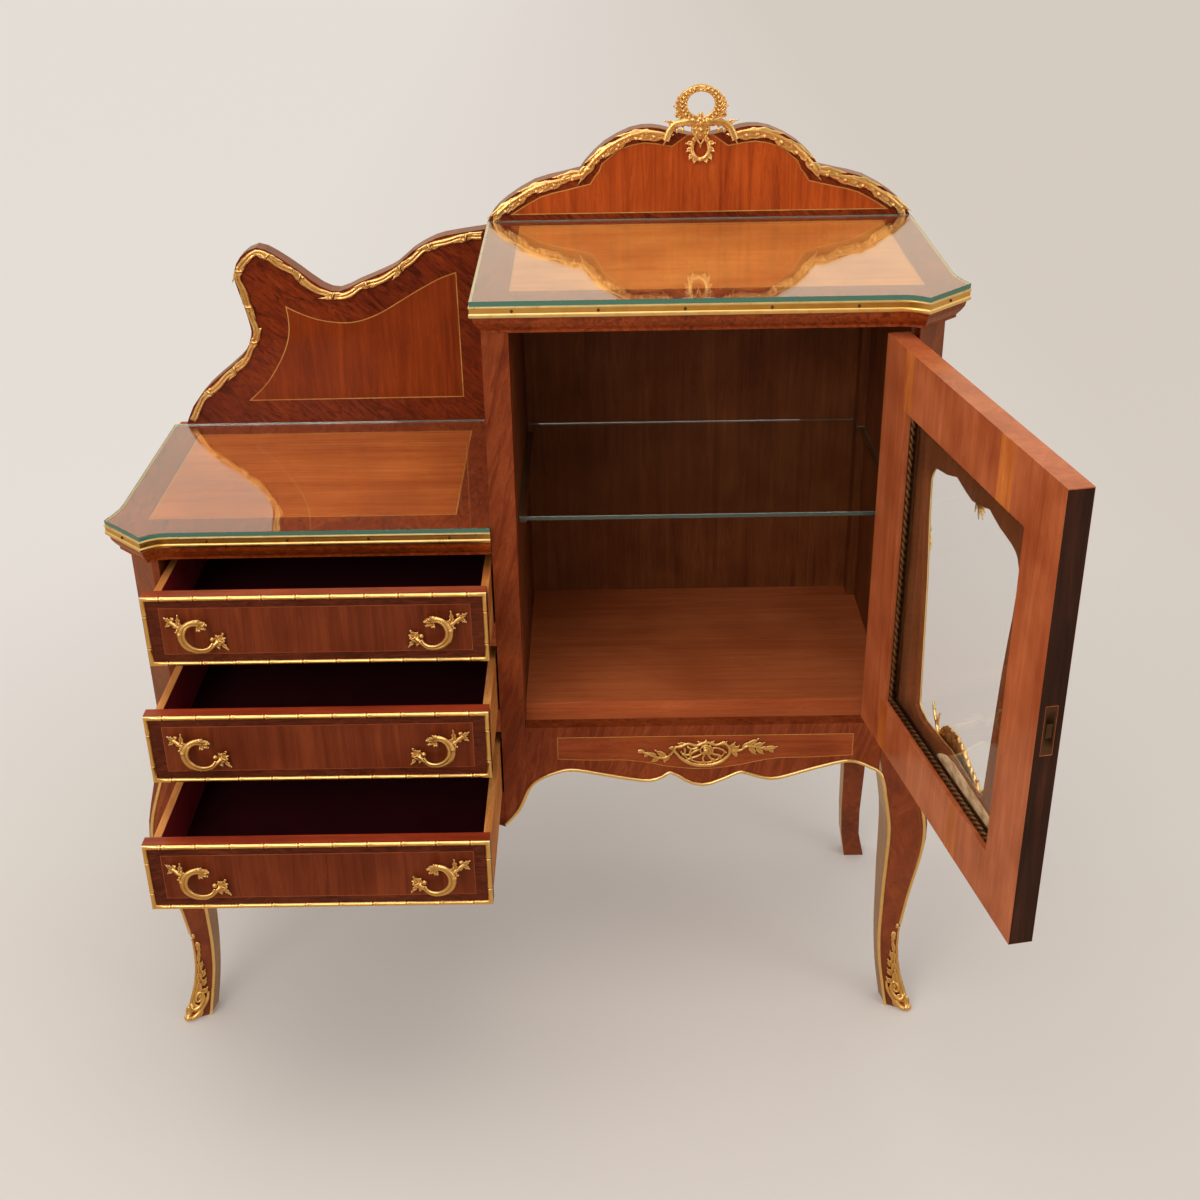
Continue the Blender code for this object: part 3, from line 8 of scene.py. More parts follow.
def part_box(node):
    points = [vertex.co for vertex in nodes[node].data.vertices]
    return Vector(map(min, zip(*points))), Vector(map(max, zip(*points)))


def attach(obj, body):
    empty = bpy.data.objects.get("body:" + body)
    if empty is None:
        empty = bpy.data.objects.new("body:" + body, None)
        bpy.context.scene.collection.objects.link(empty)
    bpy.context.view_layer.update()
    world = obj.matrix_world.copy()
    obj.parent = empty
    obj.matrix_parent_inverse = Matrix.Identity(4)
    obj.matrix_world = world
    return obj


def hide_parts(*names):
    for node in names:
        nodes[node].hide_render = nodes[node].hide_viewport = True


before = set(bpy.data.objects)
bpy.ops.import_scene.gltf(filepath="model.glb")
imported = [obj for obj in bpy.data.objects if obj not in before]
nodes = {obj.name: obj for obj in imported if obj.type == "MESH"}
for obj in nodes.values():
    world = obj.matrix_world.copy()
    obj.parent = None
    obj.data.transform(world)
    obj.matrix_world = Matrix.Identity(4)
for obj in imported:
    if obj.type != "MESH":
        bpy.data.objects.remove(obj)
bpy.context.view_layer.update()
bpy.ops.object.select_all(action="DESELECT")

# The partition's front left corner is the place that all positions below are measured from
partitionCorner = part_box("partition_panel")[0]
caseOrigin = Vector((partitionCorner.x, partitionCorner.y, 0.0))
print("frame loaded")


# Small helpers


def at(x, y, z):
    return caseOrigin + Vector((x, y, z))


def colour(text):
    # An sRGB hex value turned to the linear colour that Blender works in
    parts = [int(text[i : i + 2], 16) / 255 for i in (1, 3, 5)]
    return (*[p / 12.92 if p <= 0.04045 else ((p + 0.055) / 1.055) ** 2.4 for p in parts], 1.0)


def addNode(tree, kind, settings=None, links=None, stops=(), **options):
    # Adds a node, sets its options and inputs, and links other nodes' outputs to it. Stops are
    # the places and hex colours of a ramp
    node = tree.nodes.new(kind)
    for name, value in options.items():
        setattr(node, name, value)
    for name, value in (settings or {}).items():
        node.inputs[name].default_value = value
    for name, socket in (links or {}).items():
        tree.links.new(socket, node.inputs[name])
    for position, hexColour in stops[2:]:
        node.color_ramp.elements.new(position)
    for i, (position, hexColour) in enumerate(sorted(stops)):
        node.color_ramp.elements[i].position = position
        node.color_ramp.elements[i].color = colour(hexColour)
    return node


def newMaterial(name):
    material = bpy.data.materials.new(name)
    material.use_nodes = True
    tree = material.node_tree
    return material, tree, tree.nodes["Principled BSDF"]


# Materials. In a Mix node of colours, input 0 is the share of the second one, and 6 and 7 are the
# two colours

multiplied = {"data_type": "RGBA", "blend_type": "MULTIPLY"}


def polishedWood(name, finish, **changes):
    # Veneer under a hand-rubbed clear polish: broad dark figure, fine grain lines and short open
    # pores, with sharp reflections from the polish over a duller wood
    finish = {**finish, **changes}
    material, tree, shader = newMaterial(name)
    # The coordinates are turned so that the grain lies along Z, then squeezed along it
    place = addNode(tree, "ShaderNodeTexCoord").outputs["Object"]
    turn = [math.radians(angle) for angle in finish["turn"]]
    turned = addNode(
        tree, "ShaderNodeMapping", {"Rotation": turn}, {"Vector": place}
    ).outputs["Vector"]
    vector = addNode(
        tree, "ShaderNodeMapping", {"Scale": (1.0, 1.0, finish["stretch"])}, {"Vector": turned}
    ).outputs["Vector"]
    bend = addNode(
        tree,
        "ShaderNodeTexNoise",
        {"Scale": 1000 / finish["figureMm"] * 0.45, "Detail": 3.0, "Roughness": 0.5},
        {"Vector": vector},
    ).outputs["Color"]
    bentVector = addNode(
        tree, "ShaderNodeMix", {0: finish["wander"]}, {4: vector, 5: bend}, data_type="VECTOR"
    ).outputs[1]
    figure = addNode(
        tree,
        "ShaderNodeTexNoise",
        {"Scale": 1000 / finish["figureMm"], "Detail": 5.0, "Roughness": 0.58, "Distortion": 0.6},
        {"Vector": bentVector},
    ).outputs["Fac"]
    grain = addNode(
        tree,
        "ShaderNodeTexNoise",
        {"Scale": 1000 / finish["grainMm"], "Detail": 3.0, "Roughness": 0.65},
        {"Vector": bentVector},
    ).outputs["Fac"]
    pores = addNode(
        tree,
        "ShaderNodeTexNoise",
        {"Scale": 1000 / finish["poreMm"], "Detail": 2.0, "Roughness": 0.5},
        {"Vector": vector},
    ).outputs["Fac"]
    broad = addNode(
        tree, "ShaderNodeValToRGB", links={"Fac": figure}, stops=finish["figureStops"]
    ).outputs["Color"]
    lines = addNode(
        tree,
        "ShaderNodeValToRGB",
        links={"Fac": grain},
        stops=((0.30, finish["lineDark"]), (0.62, "#FFFFFF")),
    ).outputs["Color"]
    wood = addNode(
        tree, "ShaderNodeMix", {0: finish["lineDepth"]}, {6: broad, 7: lines}, **multiplied
    ).outputs[2]
    poreMask = addNode(
        tree, "ShaderNodeMapRange", {"From Min": 0.60, "From Max": 0.70}, {"Value": pores}
    ).outputs["Result"]
    poreShare = addNode(
        tree, "ShaderNodeMath", {1: finish["poreDepth"]}, {0: poreMask}, operation="MULTIPLY"
    ).outputs["Value"]
    wood = addNode(
        tree,
        "ShaderNodeMix",
        {7: colour(finish["poreColour"])},
        {0: poreShare, 6: wood},
        data_type="RGBA",
    ).outputs[2]
    # Old polish has darkened in patches
    patches = addNode(
        tree,
        "ShaderNodeTexNoise",
        {"Scale": 1000 / finish["cloudMm"], "Detail": 2.0},
        {"Vector": place},
    ).outputs["Fac"]
    cloud = addNode(
        tree,
        "ShaderNodeValToRGB",
        links={"Fac": patches},
        stops=((0.30, finish["cloudDark"]), (0.66, "#FFFFFF")),
    ).outputs["Color"]
    wood = addNode(
        tree, "ShaderNodeMix", {0: 1.0}, {6: wood, 7: cloud}, **multiplied
    ).outputs[2]
    tree.links.new(wood, shader.inputs["Base Color"])
    rough = finish["rough"]
    roughness = addNode(
        tree,
        "ShaderNodeMapRange",
        {"From Min": 0.3, "From Max": 0.7, "To Min": rough - 0.05, "To Max": rough + 0.07},
        {"Value": grain},
    ).outputs["Result"]
    tree.links.new(roughness, shader.inputs["Roughness"])
    bump = addNode(
        tree,
        "ShaderNodeBump",
        {"Strength": 0.08, "Distance": 0.0002},
        {"Height": grain},
    ).outputs["Normal"]
    tree.links.new(bump, shader.inputs["Normal"])
    shader.inputs["IOR"].default_value = 1.5
    shader.inputs["Specular IOR Level"].default_value = finish["specular"]
    # Level faces and upper edges are polished brighter than the upright ones
    upward = addNode(tree, "ShaderNodeNewGeometry").outputs["Normal"]
    upward = addNode(tree, "ShaderNodeSeparateXYZ", links={"Vector": upward}).outputs["Z"]
    coat = addNode(
        tree,
        "ShaderNodeMapRange",
        {"From Min": 0.25, "From Max": 0.75, "To Min": finish["coat"], "To Max": finish["coatTop"]},
        {"Value": upward},
    ).outputs["Result"]
    tree.links.new(coat, shader.inputs["Coat Weight"])
    shader.inputs["Coat Roughness"].default_value = finish["coatRough"]
    return material


# Places of a figure's four tones, from its dark lines to its pale ground
crossPlaces = (0.28, 0.42, 0.56, 0.74)
slantPlaces = (0.28, 0.42, 0.54, 0.74)
fieldPlaces = (0.25, 0.42, 0.58, 0.75)
boardPlaces = (0.25, 0.45, 0.62, 0.80)


def tones(places, *hexColours):
    return tuple(zip(places, hexColours))


# Turns of the grain from upright, in degrees
grainUp = (0, 0, 0)
grainAcross = (0, 90, 0)
grainSlant = (34, 0, 0)

# Kingwood cut across the grain: dark purple-brown streaks every 6 mm in red-brown, slanting
crossbandFinish = {
    "turn": (0, 48, 0),
    "stretch": 0.26,
    "figureMm": 15,
    "grainMm": 1.6,
    "poreMm": 0.9,
    "wander": 0.18,
    "cloudMm": 110,
    "cloudDark": "#DCCFC8",
    "figureStops": tones(slantPlaces, "#471404", "#6C2406", "#822F09", "#954012"),
    "lineDark": "#A8765C",
    "lineDepth": 0.45,
    "poreDepth": 0.22,
    "poreColour": "#2A0C05",
    "rough": 0.38,
    "specular": 0.10,
    "coat": 0.08,
    "coatTop": 0.4,
    "coatRough": 0.12,
}
crossbandWood = polishedWood("kingwood_crossband", crossbandFinish)

# The same cut laid on the level tops and on the sides of the case
crossbandTop = polishedWood(
    "kingwood_crossband_top",
    crossbandFinish,
    turn=(90, 0, 30),
    figureStops=tones(slantPlaces, "#5C200A", "#80320E", "#984014", "#AA501E"),
    coat=0.4,
    coatTop=0.6,
    coatRough=0.04,
)
crossbandSide = polishedWood(
    "kingwood_crossband_side",
    crossbandFinish,
    turn=grainSlant,
    figureMm=30,
    figureStops=tones(crossPlaces, "#64220A", "#762D0C", "#843610", "#924216"),
    coat=0.8,
    coatTop=0.8,
    coatRough=0.06,
)

# The outer left side is polished like a mirror
crossbandBright = polishedWood(
    "kingwood_crossband_bright",
    crossbandFinish,
    turn=grainSlant,
    figureMm=30,
    specular=0.5,
    coat=1.0,
    coatTop=1.0,
    coatRough=0.05,
)

# The same cut with calmer figure, for the apron and the partition
crossbandCalm = polishedWood(
    "kingwood_crossband_calm",
    crossbandFinish,
    turn=(0, -14, 0),
    stretch=0.14,
    wander=0.10,
    figureStops=tones(crossPlaces, "#6E2C14", "#813818", "#90441F", "#9C4E28"),
)

# Fields of lighter tulipwood with straight orange-brown grain
fieldFinish = {
    **crossbandFinish,
    "turn": grainUp,
    "stretch": 0.05,
    "figureMm": 22,
    "grainMm": 1.8,
    "figureStops": tones(fieldPlaces, "#742A05", "#863306", "#943B0A", "#A24610"),
    "lineDark": "#B48468",
    "poreDepth": 0.16,
    "poreColour": "#3A1206",
}
fieldUpright = polishedWood("tulipwood_field_upright", fieldFinish)
fieldLevelLow = polishedWood(
    "tulipwood_field_low_top",
    fieldFinish,
    turn=grainAcross,
    figureStops=tones(fieldPlaces, "#B4541C", "#CA6626", "#D87430", "#E2843E"),
    coat=0.4,
    coatTop=0.45,
    coatRough=0.04,
)
fieldLevelTall = polishedWood(
    "tulipwood_field_tall_top",
    fieldFinish,
    turn=grainAcross,
    figureStops=tones(fieldPlaces, "#DC8032", "#EC9240", "#F6A04E", "#FAAC5C"),
    coat=0.4,
    coatTop=0.6,
    coatRough=0.04,
)
crestField = polishedWood(
    "tulipwood_field_crest",
    fieldFinish,
    figureStops=tones((0.25, 0.45, 0.60, 0.78), "#8C360C", "#B04A14", "#C2561A", "#CE6826"),
)
apronField = polishedWood(
    "tulipwood_field_apron",
    fieldFinish,
    turn=grainAcross,
    figureStops=tones(fieldPlaces, "#8A3E18", "#984820", "#A45026", "#AE5A2C"),
)

# Dark kingwood of the drawer fronts: bands with a strong figure round a calm field
drawerBand = polishedWood(
    "kingwood_drawer_band",
    crossbandFinish,
    turn=grainAcross,
    figureStops=tones(crossPlaces, "#3E160A", "#50200F", "#602814", "#70321A"),
)
drawerField = polishedWood(
    "kingwood_drawer_field",
    fieldFinish,
    figureMm=26,
    lineDepth=0.3,
    figureStops=tones((0.28, 0.44, 0.60, 0.78), "#5E260F", "#6E2E13", "#793619", "#863E1E"),
)

# Solid mahogany of rails and the door's frame, straight grain, thinly polished
mahoganyFinish = {
    **fieldFinish,
    "turn": grainAcross,
    "stretch": 0.06,
    "figureStops": tones(boardPlaces, "#94442A", "#A65230", "#B76238", "#C67246"),
    "lineDark": "#C49880",
    "poreDepth": 0.20,
    "cloudMm": 90,
    "cloudDark": "#DCCCC2",
    "coat": 0.3,
    "coatTop": 0.5,
    "coatRough": 0.16,
}
mahoganyWood = polishedWood("solid_mahogany", mahoganyFinish)

# The door's inner side has been handled: an even tone with rubbed patches
mahoganyUpright = polishedWood(
    "solid_mahogany_upright",
    mahoganyFinish,
    turn=grainUp,
    figureStops=tones(boardPlaces, "#A85632", "#B46038", "#C06A40", "#CA764A"),
    lineDepth=0.3,
    cloudMm=75,
    cloudDark="#DCC8BC",
)

# A band of lighter wood that crosses the door's rails, and the door's edge, painted near-black as
# painted shade
paleBandWood = polishedWood(
    "pale_cross_band",
    mahoganyFinish,
    turn=grainUp,
    figureStops=tones(boardPlaces, "#B8622C", "#C86E32", "#D67C3C", "#DE8A4A"),
)
doorEdgeShadeWood = polishedWood(
    "door_edge_painted_shade",
    mahoganyFinish,
    turn=grainUp,
    figureStops=tones(boardPlaces, "#1E0C08", "#2C130C", "#3A1A10", "#5A2C1C"),
    rough=0.5,
)

# Boards of the cabinet's floor, reddish brown with grain from side to side
floorWood = polishedWood(
    "cabinet_floor_wood",
    mahoganyFinish,
    stretch=0.04,
    figureStops=tones(boardPlaces, "#AA5830", "#B86237", "#C26D40", "#CC7848"),
    lineDepth=0.4,
    cloudMm=160,
    cloudDark="#E0D4CC",
)

# Mahogany stained dark brown, as on the case's back; on the cabinet's inner sides and posts it is
# painted shade
stainAndShadeWood = polishedWood(
    "stained_mahogany_and_painted_shade",
    mahoganyFinish,
    turn=grainUp,
    figureStops=tones(boardPlaces, "#603016", "#713D1D", "#7C4422", "#864C2A"),
    cloudDark="#DCD4D0",
    coat=0.0,
    coatTop=0.1,
    rough=0.6,
)

# Upper edges of the drawer fronts: red brown wood, painted lighter than the fronts as painted light
# falling from above
litDrawerEdgeWood = polishedWood(
    "drawer_edge_painted_light",
    mahoganyFinish,
    figureStops=tones(boardPlaces, "#7A2812", "#8C321A", "#9C3C20", "#A84828"),
)

# Planed beech of the drawers' sides, unpolished, with short darker flecks
beechFinish = {
    **mahoganyFinish,
    "turn": (90, 0, 0),
    "stretch": 0.10,
    "figureMm": 30,
    "grainMm": 2.2,
    "poreMm": 1.4,
    "figureStops": tones(boardPlaces, "#B06A30", "#CC8644", "#DE9A58", "#E8B070"),
    "lineDark": "#D8B088",
    "poreColour": "#8A5430",
    "poreDepth": 0.3,
    "cloudDark": "#E4D7CC",
    "coat": 0.0,
    "coatTop": 0.0,
    "rough": 0.62,
}
beechWood = polishedWood("planed_beech", beechFinish)

# Stringing: a thin line of pale boxwood let into the veneer
stringingWood = polishedWood(
    "boxwood_stringing",
    beechFinish,
    figureStops=tones(boardPlaces, "#B07A34", "#C48C40", "#D29C50", "#DCAC68"),
    coat=0.3,
    rough=0.35,
)

# The stringing of the drawers has darkened to an orange brown
darkStringing = polishedWood(
    "darkened_stringing",
    beechFinish,
    figureStops=tones(boardPlaces, "#7E3A18", "#8E461E", "#9A5226", "#A65E30"),
    coat=0.3,
)


def liningCloth(name, napStops):
    # Burgundy baize glued on the boards: a dense short nap with a soft sheen and no gloss
    material, tree, shader = newMaterial(name)
    place = addNode(tree, "ShaderNodeTexCoord").outputs["Object"]
    # The nap is 0.3 mm and drawn at 0.8 mm so that it shows
    nap = addNode(
        tree, "ShaderNodeTexNoise", {"Scale": 1000 / 0.8, "Detail": 3.0}, {"Vector": place}
    ).outputs["Fac"]
    cloud = addNode(
        tree, "ShaderNodeTexNoise", {"Scale": 1000 / 60, "Detail": 2.0}, {"Vector": place}
    ).outputs["Fac"]
    base = addNode(tree, "ShaderNodeValToRGB", links={"Fac": nap}, stops=napStops).outputs["Color"]
    wornTone = addNode(
        tree,
        "ShaderNodeValToRGB",
        links={"Fac": cloud},
        stops=((0.35, "#C8B0B0"), (0.65, "#FFFFFF")),
    ).outputs["Color"]
    cloth = addNode(
        tree, "ShaderNodeMix", {0: 0.5}, {6: base, 7: wornTone}, **multiplied
    ).outputs[2]
    tree.links.new(cloth, shader.inputs["Base Color"])
    bump = addNode(
        tree, "ShaderNodeBump", {"Strength": 0.4, "Distance": 0.0004}, {"Height": nap}
    ).outputs["Normal"]
    tree.links.new(bump, shader.inputs["Normal"])
    shader.inputs["Roughness"].default_value = 0.95
    shader.inputs["Specular IOR Level"].default_value = 0.1
    shader.inputs["Sheen Weight"].default_value = 0.08
    shader.inputs["Sheen Tint"].default_value = colour("#983030")
    return material


# The baize on the drawers' bottoms is painted far darker than that on their sides, as painted shade
# inside the drawers
bottomBaizeShade = liningCloth("burgundy_baize", ((0.3, "#240409"), (0.7, "#440C17")))
burgundySides = liningCloth("burgundy_baize_sides", ((0.3, "#640E16"), (0.7, "#94222A")))


def castMetal(name, finish):
    # Cast, chased and burnished metal: its colour is painted highlight on the ridges and painted
    # shade, brown, in the hollows, both read from the pointiness, with a faint ripple from the
    # chasing
    material, tree, shader = newMaterial(name)
    place = addNode(tree, "ShaderNodeTexCoord").outputs["Object"]
    pointed = addNode(tree, "ShaderNodeNewGeometry").outputs["Pointiness"]
    # The chasing marks are about 1 mm wide
    chasing = addNode(
        tree, "ShaderNodeTexNoise", {"Scale": 1000 / 1.6, "Detail": 3.0}, {"Vector": place}
    ).outputs["Fac"]
    wear = addNode(
        tree, "ShaderNodeTexNoise", {"Scale": 1000 / 14, "Detail": 4.0}, {"Vector": place}
    ).outputs["Fac"]
    # Painted highlight on the ridges and painted shade in the hollows, from the pointiness
    ridgeHighlightHollowShade = addNode(
        tree, "ShaderNodeValToRGB", links={"Fac": pointed}, stops=finish["highlightAndShadeStops"]
    ).outputs["Color"]
    cloud = addNode(
        tree, "ShaderNodeValToRGB", links={"Fac": wear}, stops=finish["wearStops"]
    ).outputs["Color"]
    metal = addNode(
        tree, "ShaderNodeMix", {0: finish["wearDepth"]}, {6: ridgeHighlightHollowShade, 7: cloud}, **multiplied
    ).outputs[2]
    tree.links.new(metal, shader.inputs["Base Color"])
    smooth, dull = finish["rough"]
    roughness = addNode(
        tree,
        "ShaderNodeMapRange",
        {"From Min": 0.3, "From Max": 0.7, "To Min": smooth, "To Max": dull},
        {"Value": wear},
    ).outputs["Result"]
    tree.links.new(roughness, shader.inputs["Roughness"])
    bump = addNode(
        tree,
        "ShaderNodeBump",
        {"Strength": finish["bump"], "Distance": 0.0004},
        {"Height": chasing},
    ).outputs["Normal"]
    tree.links.new(bump, shader.inputs["Normal"])
    shader.inputs["Metallic"].default_value = finish.get("metallic", 1.0)
    return material


# Mercury-gilt brass castings
giltFinish = {
    "highlightAndShadeStops": ((0.42, "#6A441C"), (0.48, "#D0A25E"), (0.525, "#F6D492"), (0.60, "#FFF0C4")),
    "wearStops": ((0.3, "#D8B488"), (0.7, "#FFFFFF")),
    "wearDepth": 0.35,
    "rough": (0.24, 0.38),
    "bump": 0.30,
}
giltBrass = castMetal("gilt_brass_casting", giltFinish)

# Drawn and polished brass strip, evener than the castings
giltStrip = castMetal(
    "gilt_brass_strip",
    {
        **giltFinish,
        "highlightAndShadeStops": ((0.42, "#8C6428"), (0.47, "#D4A656"), (0.525, "#F6D084"), (0.60, "#FFECB4")),
        "wearDepth": 0.25,
        "bump": 0.10,
        "rough": (0.26, 0.38),
    },
)

# The back of a brass casting: dull and tarnished, and given a pale colour and low metalness as
# painted reflection, so that it shows pale where it lies in shade
paleBrassReflection = castMetal(
    "brass_back_painted_reflection",
    {
        "highlightAndShadeStops": ((0.42, "#CCA27A"), (0.58, "#F2CEA4")),
        "wearStops": ((0.40, "#B4A084"), (0.58, "#FFFFFF")),
        "wearDepth": 0.7,
        "rough": (0.45, 0.62),
        "bump": 0.3,
        "metallic": 0.3,
    },
)

# The bronze rope round the door's glass, and a near-black metal that is painted shade: on the lock
# in the door's shaded edge, and on the pins that stand for the brass edges' pin holes
bronzeRope = castMetal(
    "bronze_rope",
    {
        "highlightAndShadeStops": ((0.40, "#120A06"), (0.49, "#3A2618"), (0.54, "#76553C"), (0.62, "#B08A68")),
        "wearStops": ((0.3, "#A08870"), (0.7, "#FFFFFF")),
        "wearDepth": 0.4,
        "rough": (0.34, 0.5),
        "bump": 0.2,
    },
)
nearBlackMetalShade = castMetal(
    "near_black_metal_painted_shade",
    {
        "highlightAndShadeStops": ((0.42, "#150E0A"), (0.49, "#2A1C14"), (0.53, "#3E2C20"), (0.60, "#6A5444")),
        "wearStops": ((0.3, "#908070"), (0.7, "#FFFFFF")),
        "wearDepth": 0.5,
        "rough": (0.4, 0.6),
        "bump": 0.4,
    },
)


def sheetGlass(name, tint, edgeTint=None):
    # Float glass: clear through its faces and green where its edge is looked into. Rays from the
    # lamps pass straight, so what lies under it is lit
    material, tree, shader = newMaterial(name)
    place = addNode(tree, "ShaderNodeTexCoord")
    smear = addNode(
        tree,
        "ShaderNodeTexNoise",
        {"Scale": 1000 / 90, "Detail": 3.0},
        {"Vector": place.outputs["Object"]},
    ).outputs["Fac"]
    if edgeTint:
        up = addNode(
            tree, "ShaderNodeSeparateXYZ", links={"Vector": place.outputs["Normal"]}
        ).outputs["Z"]
        level = addNode(
            tree, "ShaderNodeMath", links={0: up}, operation="ABSOLUTE"
        ).outputs["Value"]
        edge = addNode(
            tree, "ShaderNodeMapRange", {"From Min": 0.8, "From Max": 0.4}, {"Value": level}
        ).outputs["Result"]
        tints = {6: colour(tint), 7: colour(edgeTint)}
        base = addNode(tree, "ShaderNodeMix", tints, {0: edge}, data_type="RGBA").outputs[2]
        tree.links.new(base, shader.inputs["Base Color"])
        passing = addNode(
            tree, "ShaderNodeMapRange", {"To Min": 1.0, "To Max": 0.25}, {"Value": edge}
        ).outputs["Result"]
        tree.links.new(passing, shader.inputs["Transmission Weight"])
    else:
        tone = addNode(
            tree,
            "ShaderNodeValToRGB",
            links={"Fac": smear},
            stops=((0.3, tint), (0.7, "#FFFFFF")),
        ).outputs["Color"]
        tree.links.new(tone, shader.inputs["Base Color"])
        shader.inputs["Transmission Weight"].default_value = 1.0
    roughness = addNode(
        tree,
        "ShaderNodeMapRange",
        {"From Min": 0.3, "From Max": 0.7, "To Min": 0.0, "To Max": 0.03},
        {"Value": smear},
    ).outputs["Result"]
    tree.links.new(roughness, shader.inputs["Roughness"])
    # The door's pane is thin and old, and mirrors less than the sheets on the tops
    shader.inputs["IOR"].default_value = 1.5 if edgeTint else 1.22
    clear = addNode(tree, "ShaderNodeBsdfTransparent", {"Color": colour("#F4FAF6")})
    shadowRay = addNode(tree, "ShaderNodeLightPath").outputs["Is Shadow Ray"]
    mix = addNode(
        tree,
        "ShaderNodeMixShader",
        links={0: shadowRay, 1: shader.outputs["BSDF"], 2: clear.outputs["BSDF"]},
    )
    tree.links.new(mix.outputs["Shader"], tree.nodes["Material Output"].inputs["Surface"])
    return material


topGlass = sheetGlass("float_glass_top", "#FAFEFC", "#4E7E6C")
shelfGlass = sheetGlass("float_glass_shelf", "#F4FBF7", "#46584F")
doorGlass = sheetGlass("door_pane", "#FEFFFE")
print("materials made")


# Modelling helpers. Lengths in the settings of ornaments are in millimetres

mm = 0.001
outFront = Vector((0, -1, 0))
inward = Vector((0, 1, 0))
skyward = Vector((0, 0, 1))


def activate(obj):
    bpy.ops.object.select_all(action="DESELECT")
    obj.select_set(True)
    bpy.context.view_layer.objects.active = obj


def applyModifiers(obj):
    activate(obj)
    for modifier in list(obj.modifiers):
        bpy.ops.object.modifier_apply(modifier=modifier.name)
    return obj


def joined(name, pieces):
    bpy.ops.object.select_all(action="DESELECT")
    for piece in pieces:
        piece.select_set(True)
    bpy.context.view_layer.objects.active = pieces[0]
    if len(pieces) > 1:
        bpy.ops.object.join()
    result = bpy.context.active_object
    result.name = name
    return result


def objectFrom(name, mesh):
    obj = bpy.data.objects.new(name, mesh)
    bpy.context.collection.objects.link(obj)
    return obj


def objectOf(name, bm):
    # The object of a mesh that has been edited
    mesh = bpy.data.meshes.new(name)
    bm.to_mesh(mesh)
    bm.free()
    return objectFrom(name, mesh)


def skinOver(name, rings, closed=False):
    # Joins rings of places into a skin, with caps on its ends unless it is closed
    bm = bmesh.new()
    rows = [[bm.verts.new(place) for place in ring] for ring in rings]
    size = len(rows[0])
    following = rows[1:] + rows[:1] if closed else rows[1:]
    for one, two in zip(rows, following):
        for j in range(size):
            k = (j + 1) % size
            bm.faces.new((one[j], one[k], two[k], two[j]))
    if not closed:
        bm.faces.new(rows[0])
        bm.faces.new(rows[-1])
    bmesh.ops.recalc_face_normals(bm, faces=bm.faces)
    return objectOf(name, bm)


def bar(points, radius, closed=False, sides=2, steps=4):
    # A round bar through points of x, y, z and a share of the radius
    curve = bpy.data.curves.new("bar", "CURVE")
    curve.dimensions = "3D"
    curve.bevel_depth = radius
    curve.bevel_resolution = sides
    curve.use_fill_caps = True
    curve.resolution_u = steps
    spline = curve.splines.new("BEZIER")
    spline.bezier_points.add(len(points) - 1)
    spline.use_cyclic_u = closed
    for point, (place, share) in zip(spline.bezier_points, points):
        point.co = place
        point.radius = share
        point.handle_left_type = "AUTO"
        point.handle_right_type = "AUTO"
    activate(objectFrom("bar", curve))
    bpy.ops.object.convert(target="MESH")
    return bpy.context.active_object


def evenBar(places, radius, **options):
    # A bar of one thickness, its radius in millimetres
    return bar([(place, 1.0) for place in places], radius * mm, **options)


def loopOf(count, placeAt):
    # Places at even angles round a loop, from a function of the cosine and the sine
    angles = [math.tau * step / count for step in range(count)]
    return [placeAt(math.cos(angle), math.sin(angle)) for angle in angles]


def upright(right, up):
    # A direction in the plane of the front
    return Vector((right, 0, up))


def ball(place, radii, segments=14, rings=10):
    bpy.ops.mesh.primitive_uv_sphere_add(segments=segments, ring_count=rings, radius=1.0)
    obj = bpy.context.active_object
    obj.data.transform(Matrix.Translation(place) @ Matrix.Diagonal((*radii, 1.0)))
    return obj


def knob(place, *radii):
    # A ball with one radius or three, in millimetres
    return ball(place, [r * mm for r in (radii if len(radii) == 3 else radii * 3)])


def leafTemplate(name, shape):
    # A leaf along X, 1 long and 1 wide at most, with its top towards Z: raised sides, a groove
    # down the middle, teeth along its edge and a tip that curls up
    bpy.ops.mesh.primitive_grid_add(x_subdivisions=shape["along"], y_subdivisions=8, size=2)
    leaf = bpy.context.active_object
    leaf.name = name
    for vertex in leaf.data.vertices:
        t = (vertex.co.x + 1) / 2
        across = vertex.co.y
        body = max(1.0 - abs(2 * t ** shape["fullness"] - 1) ** 2.4, 0.0) ** 0.6
        body = max(body, 0.30 * (1 - t))
        lobe = 0.5 - 0.5 * math.cos(math.tau * t * shape["teeth"])
        body *= 1.0 - shape["toothDepth"] * lobe * abs(across)
        lift = shape["cup"] * across**2 + shape["vein"] * min(abs(across) / 0.3, 1.0)
        curl = shape["curl"] * max(t - 0.55, 0.0) ** 2
        vertex.co = (t, across * body / 2, lift + curl)
    thicken = leaf.modifiers.new("thickness", "SOLIDIFY")
    thicken.thickness = shape["thick"]
    thicken.offset = -1.0
    return applyModifiers(leaf)


leafShapes = {
    "plain": {
        "along": 14,
        "fullness": 0.75,
        "teeth": 1,
        "toothDepth": 0.0,
        "cup": -0.12,
        "vein": 0.12,
        "curl": 0.5,
        "thick": 0.30,
    },
    "toothed": {
        "along": 24,
        "fullness": 0.85,
        "teeth": 3,
        "toothDepth": 0.38,
        "cup": -0.10,
        "vein": 0.14,
        "curl": 0.7,
        "thick": 0.30,
    },
    "long": {
        "along": 26,
        "fullness": 0.70,
        "teeth": 2,
        "toothDepth": 0.25,
        "cup": -0.18,
        "vein": 0.16,
        "curl": 0.4,
        "thick": 0.24,
    },
}
leaves = {name: leafTemplate("leaf_" + name, shape) for name, shape in leafShapes.items()}


